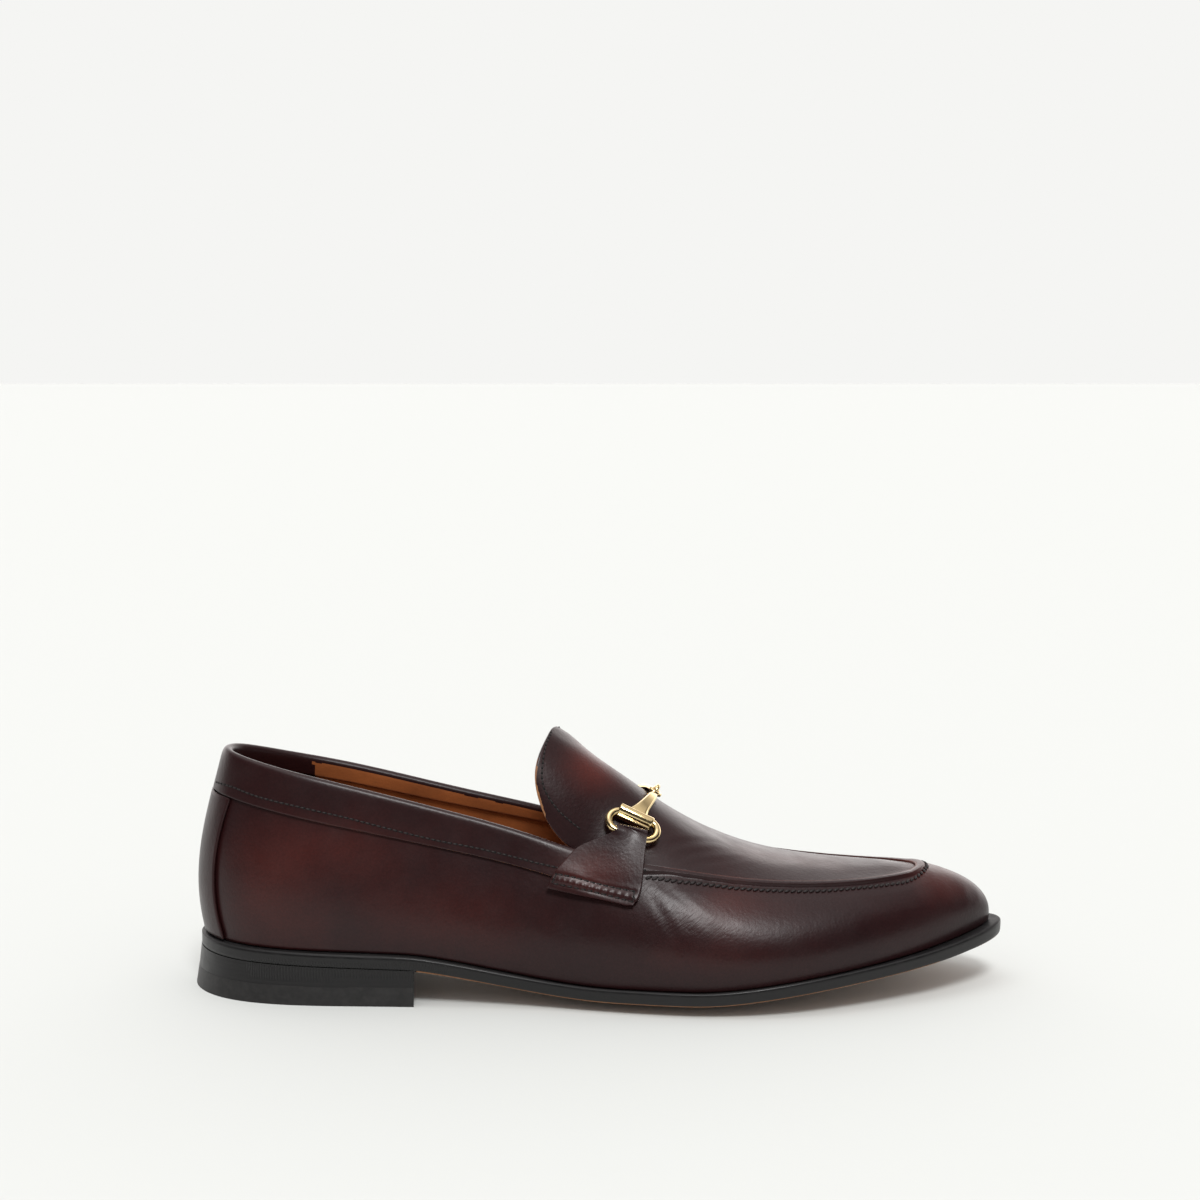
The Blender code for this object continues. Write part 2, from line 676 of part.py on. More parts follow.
def hit(tree, start, direction):
    """Where a ray meets the tree's surface, and the surface's outward direction there."""
    point, normal, _, _ = tree.ray_cast(Vector(start), Vector(direction))
    normal = np.array(normal)
    if np.dot(normal, direction) > 0:
        normal = -normal
    return np.array(point), normal


def side_at(tree, side, x, z, spare):
    """How far out the leather lies at x and z, seen from the side. Where that view passes
    over the leather, it is what lies nearest to the spare distance out."""
    point, _, _, _ = tree.ray_cast(Vector((x, side, z)), Vector((0, -side, 0)))
    if point is None:
        point = tree.find_nearest(Vector((x, side * spare, z)))[0]
    return side * point[1]


def bit_line(tree, side, out, off):
    """A point of the bit's middle line over the instep: out is how far it is from the
    shoe's middle, as a share of the barrel's distance, and off its height over the leather."""
    x = LENGTH * (BIT_AT - BIT_SWEEP * out * out)
    y = side * BARREL_OUT * HALF * out
    point, _ = hit(tree, (x, y, 1.0), (0, 0, -1.0))
    ahead, _ = hit(tree, (x, y + 0.002, 1.0), (0, 0, -1.0))
    behind, _ = hit(tree, (x, y - 0.002, 1.0), (0, 0, -1.0))
    front, _ = hit(tree, (x + 0.002, y, 1.0), (0, 0, -1.0))
    normal = np.cross(front - point, ahead - behind)
    normal = unit(normal if normal[2] > 0 else -normal)
    return point + normal * off, normal


class BitFrame:
    """Where one side's barrel and ring lie: the barrel's middle, and the directions
    along it, down the ring and off the leather."""

    def __init__(self, tree, side):
        self.side = side
        self.barrel, normal = bit_line(tree, side, 1.0, BARREL_RADIUS + 2 * GAP)
        inner, _ = bit_line(tree, side, 0.75, BARREL_RADIUS + GAP)
        down = unit(self.barrel - inner)
        along = np.cross(normal, down)
        along = unit(along if along[0] > 0 else -along)
        turn = math.radians(BIT_TWIST)
        down = unit(down * math.cos(turn) + along * math.sin(turn))
        reach = self.barrel + down * 2 * RING_BEND
        near = np.array(tree.find_nearest(Vector(reach))[0])
        clear = GAP + STRAP_WALL + 2 * GAP + RING_WIRE
        bar = near + unit(reach - near) * clear
        self.down = unit(bar - self.barrel)
        along = np.cross(normal, self.down)
        self.along = unit(along if along[0] > 0 else -along)
        off = np.cross(self.along, self.down)
        self.off = unit(off if off[2] > 0 else -off)

    def at(self, along, down, off):
        """The point this far along, down and off from the barrel's middle."""
        return self.barrel + self.along * along + self.down * down + self.off * off


def bit_ring(name, frame, gold):
    """An oval wire ring: two straight bars joined by round ends."""
    path = []
    half = RING_STRAIGHT / 2
    for end in (1, -1):
        for angle in np.radians(np.linspace(90, -90, 9)):
            along = end * (half + RING_BEND * math.cos(angle))
            down = RING_BEND * (1 - end * math.sin(angle))
            path.append((along, down, end * math.cos(angle), -end * math.sin(angle)))
    loops = []
    for along, down, out_along, out_down in path:
        loop = []
        for turn in np.linspace(0, 2 * np.pi, 11)[:-1]:
            c, o = RING_WIRE * math.cos(turn), RING_WIRE * math.sin(turn)
            loop.append(frame.at(along + out_along * c, down + out_down * c, o))
        loops.append(np.array(loop))
    return loops_solid(name, loops, gold)


def barrel_tube(name, frame, gold):
    """The tube that holds the ring's upper bar."""
    loops = []
    half = BARREL_LENGTH / 2
    profile = ((BARREL_RADIUS - 0.0004, half), (BARREL_RADIUS, half - 0.0004),
               (BARREL_RADIUS, 0.0004 - half), (BARREL_RADIUS - 0.0004, -half),
               (BARREL_HOLE, -half), (BARREL_HOLE, half))
    for turn in np.linspace(0, 2 * np.pi, 17)[:-1]:
        loops.append(np.array([frame.at(along, r * math.cos(turn), r * math.sin(turn))
                               for r, along in profile]))
    return loops_solid(name, loops, gold)


def bit_arm(name, tree, frame, eye_at, gold):
    """The flared plate from the barrel up to the eye in the middle."""
    start = (BARREL_RADIUS + BARREL_HOLE) / 2
    reach = np.linalg.norm(frame.barrel - bit_line(tree, frame.side, 0.0, 0.003)[0])
    first_out = 1 - start / reach
    steps = np.linspace(0, 1, 9)
    widths = np.interp(steps, (0, 0.10, 0.22, 0.36, 1.0),
                       (BARREL_LENGTH, BARREL_LENGTH * 0.93, ARM_NECK * 1.35, ARM_NECK, ARM_TIP))
    last_out = eye_at + EYE_RADIUS / reach
    loops = []
    for step, width in zip(steps, widths):
        out = first_out + (last_out - first_out) * step
        lift = BARREL_RADIUS + 2 * GAP + ARM_THICKNESS * 0.35 * (1 - step)
        centre, normal = bit_line(tree, frame.side, out, lift)
        ahead, _ = bit_line(tree, frame.side, out + 0.03, lift)
        behind, _ = bit_line(tree, frame.side, out - 0.03, lift)
        across = unit(np.cross(normal, unit(ahead - behind)))
        if across[0] < 0:
            across = -across
        blend = smooth(step / 0.3)
        across = unit(frame.along * (1 - blend) + across * blend)
        if step == 0:
            centre = frame.at(0, -start, 0)
            normal = frame.off
        half, thick = width / 2, ARM_THICKNESS / 2
        edge = min(0.0004, half * 0.3)
        shape = ((-half, -thick), (half, -thick), (half, thick - edge), (half - edge, thick),
                 (edge - half, thick), (-half, thick - edge))
        loops.append(np.array([centre + across * a + normal * b for a, b in shape]))
    return loops_solid(name, loops, gold, closed=False)


def eye_ring(name, centre, along, up, gold):
    """A small round eye in the plane of two directions."""
    third = unit(np.cross(along, up))
    loops = []
    for angle in np.linspace(0, 2 * np.pi, 15)[:-1]:
        out = along * math.cos(angle) + up * math.sin(angle)
        loops.append(np.array([centre + out * (EYE_RADIUS + EYE_WIRE * math.cos(turn))
                               + third * EYE_WIRE * math.sin(turn)
                               for turn in np.linspace(0, 2 * np.pi, 9)[:-1]]))
    return loops_solid(name, loops, gold)


def join_solids(base, others, cutters):
    """Unites solids into one with the Boolean modifier."""
    for other in others:
        cutters.objects.link(other)
        other.hide_render = True
        other.display_type = "WIRE"
        union = base.modifiers.new("join " + other.name, "BOOLEAN")
        union.operation = "UNION"
        union.solver = "EXACT"
        union.object = other
    return base


def bit_half(name, tree, frame, gold, cutters):
    """Half of the bit: barrel, flared arm and an eye linked through the other half's."""
    side = frame.side
    shift = EYE_RADIUS / 2
    lift = BARREL_RADIUS + 2 * GAP
    middle_point, normal = bit_line(tree, side, 0.0, lift)
    across = np.array([0.0, side, 0.0])
    forward = unit(np.cross(normal, across))
    centre = middle_point + across * shift
    up = normal if side == LATERAL else forward
    reach = np.linalg.norm(frame.barrel - middle_point)
    eye = eye_ring(name + "_eye", centre, across, up, gold)
    arm = bit_arm(name + "_arm", tree, frame, shift / reach, gold)
    return join_solids(barrel_tube(name, frame, gold), [arm, eye], cutters)


def even(values, times):
    """Evens out a grid of values along both its directions, this many times."""
    values = values.copy()
    for _ in range(times):
        values[1:-1] = (values[:-2] + 2 * values[1:-1] + values[2:]) / 4
        values[:, 1:-1] = (values[:, :-2] + 2 * values[:, 1:-1] + values[:, 2:]) / 4
    return values


def push_clear(tree, grid, distance):
    """Moves the points that lie nearer than this to the tree's surface away from it."""
    grid = grid.copy()
    for point in grid.reshape(-1, 3):
        near, normal, _, _ = tree.find_nearest(Vector(point))
        height = (Vector(point) - near).dot(normal)
        if height < distance:
            point += np.array(normal) * (distance - height)
    return grid


def strap_sheet(name, tree, frame, leather):
    """A side strap: sewn to the quarter, over the throat, folded round the ring's bar."""
    side = frame.side
    columns = np.linspace(0, 1, 9)
    table = [dict(zip(STRAP_COLUMNS, row)) for row in STRAP]
    bar_off = RING_WIRE + GAP
    top = [frame.at(STRAP_TOP * (u - 0.5), 2 * RING_BEND, 0) for u in columns]
    back = [(r["back"] * LENGTH, r["back_high"] * COLLAR_HEIGHT) for r in table]
    front = [(r["front"] * LENGTH, r["front_high"] * COLLAR_HEIGHT) for r in table]
    last = frame.down * bar_off * 2.2
    back.append(((top[0] + last)[0], (top[0] + last)[2]))
    front.append(((top[-1] + last)[0], (top[-1] + last)[2]))
    levels = np.array([0.0, 0.33, 0.66, 1.0])
    back = Spline(levels, np.array(back), closed=False).at(np.linspace(0, 1, 13))
    front = Spline(levels, np.array(front), closed=False).at(np.linspace(0, 1, 13))
    flat = back[:, None] + (front - back)[:, None] * columns[None, :, None]
    spare = abs(frame.barrel[1])
    raw = np.array([[side_at(tree, side, x, z, spare) for x, z in line] for line in flat])
    smoothed = even(raw, 5)
    lift = even(np.pad(raw - smoothed, 1, mode="edge"), 0)
    around = [lift[i:i + raw.shape[0], j:j + raw.shape[1]] for i in range(3) for j in range(3)]
    lift = even(np.clip(np.max(around, axis=0), 0, None), 1)
    grid = np.stack([flat[..., 0], side * (smoothed + lift), flat[..., 1]], axis=-1)
    d_rows = np.gradient(grid, axis=0)
    d_columns = np.gradient(grid, axis=1)
    normal = unit(np.cross(d_rows, d_columns))
    normal = np.where(normal[..., 1:2] * side < 0, -normal, normal)
    grid = grid + normal * GAP * 2
    sewn = grid[:9]
    bars = np.array(top)
    fold = np.array([bars + frame.off * bar_off * math.sin(angle) - frame.down * bar_off * math.cos(angle)
                     for angle in np.radians(np.linspace(105, -62, 9))])
    rise = (sewn[-1] - sewn[-2]) * 2.4
    arrive = (fold[1] - fold[0]) * 2.4
    between = []
    for t in (0.25, 0.5, 0.75):
        between.append((2 * t**3 - 3 * t**2 + 1) * sewn[-1] + (t**3 - 2 * t**2 + t) * rise
                       + (3 * t**2 - 2 * t**3) * fold[0] + (t**3 - t**2) * arrive)
    low = push_clear(tree, np.concatenate([sewn, np.array(between)]), GAP * 1.5)
    grid = np.concatenate([low, fold])
    return open_surface(name, grid, leather, STRAP_WALL, (0, side, 0.5))


def clear_scene():
    """Removes whatever the scene holds."""
    for obj in list(bpy.data.objects):
        bpy.data.objects.remove(obj, do_unlink=True)


def material(name, colour, roughness, metallic=0.0):
    """A plain Principled material."""
    made = bpy.data.materials.new(name)
    made.use_nodes = True
    shader = made.node_tree.nodes["Principled BSDF"]
    shader.inputs["Base Color"].default_value = (*colour, 1.0)
    shader.inputs["Roughness"].default_value = roughness
    shader.inputs["Metallic"].default_value = metallic
    return made


def main():
    """Builds the shoe in its own collection, under one empty."""
    clear_scene()
    leather = material("burgundy_calf", (0.055, 0.018, 0.016), 0.35)
    edge = material("black_edge_leather", (0.02, 0.02, 0.021), 0.45)
    rubber = material("black_rubber", (0.02, 0.02, 0.02), 0.6)
    lining = material("tan_lining", (0.42, 0.17, 0.05), 0.5)
    gold = material("gilt_brass", (0.83, 0.60, 0.28), 0.2, 1.0)
    shoe = bpy.data.collections.new("bit_loafer")
    cutters = bpy.data.collections.new("joined_inside")
    cutters.hide_render = True
    bpy.context.scene.collection.children.link(shoe)
    bpy.context.scene.collection.children.link(cutters)
    body = [upper(leather), apron_tongue(leather), collar_band(leather)]
    pieces = [outsole(edge), *heel(edge, rubber), insole(lining), back_counter(leather), *body]
    for piece in pieces:
        shoe.objects.link(piece)
    tree = search_tree(body)
    for side, label in ((LATERAL, "lateral"), (MEDIAL, "medial")):
        frame = BitFrame(tree, side)
        trim = [strap_sheet("strap_" + label, tree, frame, leather),
                bit_ring("bit_ring_" + label, frame, gold),
                bit_half("bit_half_" + label, tree, frame, gold, cutters)]
        for piece in trim:
            shoe.objects.link(piece)
        pieces += trim
    origin = bpy.data.objects.new("footprint_middle", None)
    shoe.objects.link(origin)
    round_ = ROUND.at(np.linspace(0, TURN, 2000))
    middle_y = (round_[:, 1].min() + round_[:, 1].max()) / 2
    origin.location = Vector((-LENGTH / 2, -middle_y, 0))
    for piece in pieces + list(cutters.objects):
        piece.parent = origin


main()
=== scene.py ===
"""Looks of a dark burgundy bit loafer, right foot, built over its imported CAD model.

Sizes named in millimetres are the shoe's own: x from the back of the heel, y from the
sole's middle line with the outer side of the foot negative, z from the floor.
"""

import json
import logging
import math
from dataclasses import dataclass, field
from enum import Enum
from typing import Iterable, Optional, Sequence

import bmesh
import bpy
import numpy as np
from mathutils import Matrix, Vector
from mathutils.bvhtree import BVHTree

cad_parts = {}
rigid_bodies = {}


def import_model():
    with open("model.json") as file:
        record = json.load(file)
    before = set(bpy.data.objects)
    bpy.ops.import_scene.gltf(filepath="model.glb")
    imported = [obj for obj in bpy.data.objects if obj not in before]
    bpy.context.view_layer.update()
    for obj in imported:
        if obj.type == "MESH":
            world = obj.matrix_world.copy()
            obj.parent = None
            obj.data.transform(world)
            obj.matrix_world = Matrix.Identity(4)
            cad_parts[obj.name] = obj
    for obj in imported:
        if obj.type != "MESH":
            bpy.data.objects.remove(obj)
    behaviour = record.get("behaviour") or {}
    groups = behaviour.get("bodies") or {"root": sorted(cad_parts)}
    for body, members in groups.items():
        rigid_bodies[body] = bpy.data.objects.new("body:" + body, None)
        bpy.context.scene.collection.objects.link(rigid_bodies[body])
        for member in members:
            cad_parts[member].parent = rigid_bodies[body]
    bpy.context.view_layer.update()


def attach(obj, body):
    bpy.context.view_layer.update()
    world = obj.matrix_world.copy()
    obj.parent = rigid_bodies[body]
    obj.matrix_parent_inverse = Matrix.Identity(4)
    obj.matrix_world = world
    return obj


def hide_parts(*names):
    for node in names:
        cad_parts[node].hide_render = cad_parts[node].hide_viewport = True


LOG = logging.getLogger("bit_loafer")
MM = 0.001
HEEL_BACK = -150.0  # the shoe's own x of nought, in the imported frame, mm
MIDDLE = 1.0733  # the sole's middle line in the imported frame, mm

HEEL_GRIP = -0.107  # behind this the inside is lined in the upper's own calf, m
SEAM_BACK = 0.018  # where the raised seam comes out from under the strap, m
INSIDE = (-0.108, 0.085)  # where the line along the middle of the inside ends, m
VIEW_FROM = (0.00045, -0.89893, 0.27)  # where the photograph was taken from, metres

Points = np.ndarray
Piece = bpy.types.Object
Material = bpy.types.Material
Tree = bpy.types.NodeTree
Socket = bpy.types.NodeSocket
Span = tuple[float, float]
Spot = tuple[float, float, float]


class Side(Enum):
    """The two sides of the foot, with the sign of y on each."""

    LATERAL = -1
    MEDIAL = 1

    @property
    def word(self) -> str:
        """The side's name as the CAD nodes write it."""
        return self.name.lower()


class Skin(Enum):
    """Which face of a leather wall a mesh face belongs to."""

    OUTER = 0
    LINING = 1
    EDGE = 2
    LIP = 3


class SolePart(Enum):
    """Which finish a face of the outsole has."""

    INKED = 0
    NATURAL = 1
    TAN_LINE = 2
    WELT_TOP = 3


# ---------------------------------------------------------------- places and meshes


def placed(points: Iterable[Sequence[float]]) -> Points:
    """Turns the shoe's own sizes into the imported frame.

    Args:
        points: Points in the shoe's own millimetres.

    Returns:
        The same points in metres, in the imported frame.
    """
    shift = np.array([HEEL_BACK, MIDDLE, 0.0])
    return (np.asarray(list(points), float).reshape(-1, 3) + shift) * MM


def unit(vector: Points) -> Points:
    """The vector, or each row of vectors, at length one."""
    length = np.linalg.norm(vector, axis=-1, keepdims=True)
    return vector / np.maximum(length, 1e-12)


def own_mm(points: Points) -> Points:
    """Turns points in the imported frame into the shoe's own millimetres."""
    return points / MM - np.array([HEEL_BACK, MIDDLE, 0.0])


def new_object(name: str, data: Optional[bpy.types.ID]) -> Piece:
    """A new object in the scene with this mesh, light or camera."""
    obj = bpy.data.objects.new(name, data)
    bpy.context.scene.collection.objects.link(obj)
    return obj


def look_out(points: Points, facing: Points) -> Points:
    """How far each point faces out of the shoe: 1 straight out, -1 straight in."""
    start = np.tile(placed([(0, 0, 26)]), (len(points), 1))
    start[:, 0] = np.clip(points[:, 0], *INSIDE)
    return (unit(points - start) * facing).sum(axis=1)


def only(obj: Piece) -> None:
    """Selects this object alone and makes it the active one."""
    for other in bpy.context.view_layer.objects:
        if other.select_get():
            other.select_set(False)
    obj.select_set(True)
    bpy.context.view_layer.objects.active = obj


def finish_with(obj: Piece, kind: str, **settings: object) -> None:
    """Adds a modifier with its settings and applies it.

    Args:
        obj: The piece.
        kind: Blender's name for the modifier type.
        settings: The modifier's settings by name.
    """
    modifier = obj.modifiers.new(kind.lower(), kind)
    for name, value in settings.items():
        setattr(modifier, name, value)
    only(obj)
    bpy.ops.object.modifier_apply(modifier=modifier.name)


def subdivide(obj: Piece, levels: int) -> None:
    """Applies a smooth subdivision of that many levels."""
    finish_with(obj, "SUBSURF", levels=levels, render_levels=levels, boundary_smooth="ALL")


def merged_copy(node: str, name: str) -> Piece:
    """Copies a CAD node as a clean quad mesh that can be smoothed.

    Args:
        node: The CAD node's name.
        name: The new piece's name.

    Returns:
        The copy, with its loose triangles merged.
    """
    mesh = bpy.data.objects[node].data.copy()
    mesh.name = name
    mesh.materials.clear()
    obj = new_object(name, mesh)
    only(obj)
    if mesh.has_custom_normals:
        bpy.ops.mesh.customdata_custom_splitnormals_clear()
    bpy.ops.object.mode_set(mode="EDIT")
    bpy.ops.mesh.select_all(action="SELECT")
    bpy.ops.mesh.remove_doubles(threshold=1e-5)
    bpy.ops.mesh.tris_convert_to_quads(face_threshold=math.radians(35),
                                       shape_threshold=math.radians(70))
    bpy.ops.object.mode_set(mode="OBJECT")
    return obj


def crease_edges(obj: Piece, angle: float, strength: float, behind: float = math.inf) -> None:
    """Keeps the sharp edges of a piece from being smoothed away.

    Args:
        obj: The piece, before its subdivision.
        angle: Edges that turn by more than this are kept, degrees.
        strength: How sharp they stay, from 0 to 1.
        behind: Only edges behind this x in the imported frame, m.
    """
    mesh = bmesh.new()
    mesh.from_mesh(obj.data)
    floats = mesh.edges.layers.float
    layer = floats.get("crease_edge") or floats.new("crease_edge")
    for edge in mesh.edges:
        if max(vertex.co.x for vertex in edge.verts) > behind:
            continue
        if len(edge.link_faces) == 2 and edge.calc_face_angle() > math.radians(angle):
            edge[layer] = strength
    mesh.to_mesh(obj.data)
    mesh.free()


def shape_of(obj: Piece) -> tuple[Points, Points]:
    """The points of a piece's mesh and the directions that its surface faces at them."""
    mesh = obj.data
    points = np.empty(len(mesh.vertices) * 3)
    mesh.vertices.foreach_get("co", points)
    facing = np.empty(len(mesh.vertices) * 3)
    mesh.vertices.foreach_get("normal", facing)
    return points.reshape(-1, 3), facing.reshape(-1, 3)


def reshape(obj: Piece, points: Points) -> None:
    """Moves a piece's mesh points to these places."""
    obj.data.vertices.foreach_set("co", points.reshape(-1))
    obj.data.update()


def search_tree(*pieces: Piece) -> BVHTree:
    """A search tree over the surfaces of these pieces."""
    points, faces = [], []
    for obj in pieces:
        first = len(points)
        points.extend(vertex.co.copy() for vertex in obj.data.vertices)
        faces.extend([first + i for i in face.vertices] for face in obj.data.polygons)
    return BVHTree.FromPolygons(points, faces)


def smooth(obj: Piece, angle: float) -> None:
    """Shades a piece smooth, apart from edges that turn by more than this angle."""
    only(obj)
    bpy.ops.object.shade_smooth_by_angle(angle=math.radians(angle))


def write_attribute(obj: Piece, name: str, values: Points) -> None:
    """Keeps one number at each mesh point, for a material to read."""
    layer = obj.data.attributes.get(name) or obj.data.attributes.new(name, "FLOAT", "POINT")
    layer.data.foreach_set("value", np.asarray(values, np.float32))


def dress(obj: Piece, slot: str, *materials: Material,
          angle: float = 60.0, node: str = "") -> None:
    """Gives a piece its shading, its materials and its body.

    Args:
        obj: The finished piece.
        slot: Not used.
        materials: Its materials, in the order of its face numbers.
        angle: Edges that turn by more than this stay sharp, degrees.
        node: The CAD node that it takes the place of, if any.
    """
    smooth(obj, angle)
    for material in materials:
        obj.data.materials.append(material)
    if node:
        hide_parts(node)
    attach(obj, "root")
    LOG.info("%s: %d faces", obj.name, len(obj.data.polygons))


def along_line(points: Points, share: Points) -> tuple[Points, Points]:
    """Walks a smooth line through some points.

    Args:
        points: The points that the line goes through.
        share: Distances along the line, from 0 at its start to 1 at its end.

    Returns:
        The places at those distances, and the line's directions there.
    """
    dense = []
    ends = np.vstack([2 * points[0] - points[1], points, 2 * points[-1] - points[-2]])
    for a, b, c, d in zip(ends, ends[1:], ends[2:], ends[3:]):
        t = np.linspace(0, 1, 24, endpoint=False)[:, None]
        dense.append(0.5 * (2 * b + (c - a) * t + (2 * a - 5 * b + 4 * c - d) * t ** 2
                            + (3 * b - a - 3 * c + d) * t ** 3))
    line = np.vstack(dense + [points[-1:]])
    run = np.concatenate([[0], np.cumsum(np.linalg.norm(np.diff(line, axis=0), axis=1))])
    want = np.asarray(share) * run[-1]
    place = np.stack([np.interp(want, run, line[:, i]) for i in range(3)], axis=1)
    step = run[-1] / 400
    ahead = np.stack([np.interp(want + step, run, line[:, i]) for i in range(3)], axis=1)
    back = np.stack([np.interp(want - step, run, line[:, i]) for i in range(3)], axis=1)
    return place, unit(ahead - back)


def line_length(points: Points) -> float:
    """The length of the smooth line through these points."""
    place, _ = along_line(points, np.linspace(0, 1, 200))
    return float(np.linalg.norm(np.diff(place, axis=0), axis=1).sum())


def distance_to_line(points: Points, line: Points) -> tuple[Points, Points]:
    """How far each point is from a broken line.

    Args:
        points: The points.
        line: The line's corners.

    Returns:
        Each point's distance, and how far along the line its nearest place is, 0 to 1.
    """
    best = np.full(len(points), np.inf)
    where = np.zeros(len(points))
    count = len(line) - 1
    for i in range(count):
        way = line[i + 1] - line[i]
        t = np.clip((points - line[i]) @ way / max(way @ way, 1e-18), 0, 1)
        gap = np.linalg.norm(points - line[i] - t[:, None] * way, axis=1)
        nearer = gap < best
        best[nearer] = gap[nearer]
        where[nearer] = (i + t[nearer]) / count
    return best, where


MEDIAL_X = (0, 33, 60, 94, 127, 147, 170, 195, 218, 240, 257, 266, 270)
MEDIAL_OUT = (1.0, 1.0, 0.987, 0.988, 0.989, 0.993, 1.0, 1.01, 1.028, 1.062, 1.16, 1.44,
              1.0)
MEDIAL_HIGH = (1.0, 0.981, 0.982, 0.98, 0.991, 0.994, 0.993, 0.983, 0.970, 0.962, 0.976,
               0.992, 1.0)


def on_side(line: Sequence[Sequence[float]], side: Side) -> Points:
    """A line of the outer side of the foot, or the same line on its inner side.

    Args:
        line: Its points on the outer side, in the shoe's own mm.
        side: The side that it is wanted on. The last isn't the same on both.

    Returns:
        Its points on that side, in the shoe's own mm.
    """
    points = np.array(line, float)
    if side is Side.MEDIAL:
        points[:, 1] *= -np.interp(points[:, 0], MEDIAL_X, MEDIAL_OUT)
        points[:, 2] *= np.interp(points[:, 0], MEDIAL_X, MEDIAL_HIGH)
    return points


# ---------------------------------------------------------------- finishes


def colour(code: str) -> tuple[float, float, float, float]:
    """Turns an sRGB hex colour to linear red, green, blue and alpha."""
    parts = [int(code[i:i + 2], 16) / 255 for i in (1, 3, 5)]
    linear = [c / 12.92 if c <= 0.04045 else ((c + 0.055) / 1.055) ** 2.4 for c in parts]
    return (*linear, 1.0)


def add_node(tree: Tree, kind: str, inputs: Optional[dict] = None,
             **settings: object) -> bpy.types.Node:
    """Adds one shader node.

    Args:
        tree: The material's node tree.
        kind: The node's type, without the ShaderNode in front.
        inputs: A value or a linked socket for each input, by name or number.
        settings: The node's own settings.

    Returns:
        The node.
    """
    made = tree.nodes.new("ShaderNode" + kind)
    for name, value in settings.items():
        setattr(made, name, value)
    for key, value in (inputs or {}).items():
        if isinstance(value, Socket):
            tree.links.new(value, made.inputs[key])
        else:
            made.inputs[key].default_value = value
    return made


def empty_material(name: str) -> tuple[Material, Tree]:
    """A material with an empty node tree."""
    material = bpy.data.materials.new(name)
    material.use_nodes = True
    material.node_tree.nodes.clear()
    return material, material.node_tree


def surface(tree: Tree, inputs: dict) -> None:
    """Ends a material's tree with its shader and output."""
    shader = add_node(tree, "BsdfPrincipled", inputs)
    add_node(tree, "OutputMaterial", {"Surface": shader.outputs["BSDF"]})


def ramp(tree: Tree, fac: Socket, stops: Sequence[tuple[float, str]]) -> Socket:
    """Turns a number into a colour through some stops of place and hex colour."""
    made = add_node(tree, "ValToRGB", {"Fac": fac})
    elements = made.color_ramp.elements
    while len(elements) < len(stops):
        elements.new(0.5)
    for element, (place, code) in zip(elements, stops):
        element.position = place
        element.color = colour(code)
    return made.outputs["Color"]


def noise(tree: Tree, place: Socket, scale: float, detail: float, **more: float) -> Socket:
    """A cloudy pattern of this many clouds a metre, as a number from 0 to 1."""
    return add_node(tree, "TexNoise", {"Vector": place, "Scale": scale, "Detail": detail,
                                       **more}).outputs["Fac"]


def spread(tree: Tree, value: Socket, source: Span, target: Span, kind: str = "LINEAR") -> Socket:
    """Turns numbers from one span into those of another, and holds them at its ends."""
    return add_node(tree, "MapRange", {"Value": value, "From Min": source[0],
                                       "From Max": source[1], "To Min": target[0],
                                       "To Max": target[1]}, interpolation_type=kind).outputs[0]


def sum_of(tree: Tree, operation: str, *values: object, clamp: bool = False) -> Socket:
    """One sum on numbers or sockets."""
    return add_node(tree, "Math", dict(enumerate(values)), operation=operation,
                    use_clamp=clamp).outputs[0]


def bumps(tree: Tree, height: Socket, strength: float, deep: float, **under: Socket) -> Socket:
    """A surface direction that follows a height, this many metres deep."""
    return add_node(tree, "Bump", {"Height": height, "Strength": strength, "Distance": deep,
                                   **under}).outputs[0]


def new_skin(name: str) -> tuple[Material, Tree, Socket]:
    """An empty material, its tree, and the socket of places on the object."""
    material, tree = empty_material(name)
    return material, tree, add_node(tree, "TexCoord").outputs["Object"]


def number_at(tree: Tree, name: str) -> Socket:
    """The numbers that a mesh carries under this name."""
    return add_node(tree, "Attribute", attribute_name=name).outputs["Fac"]


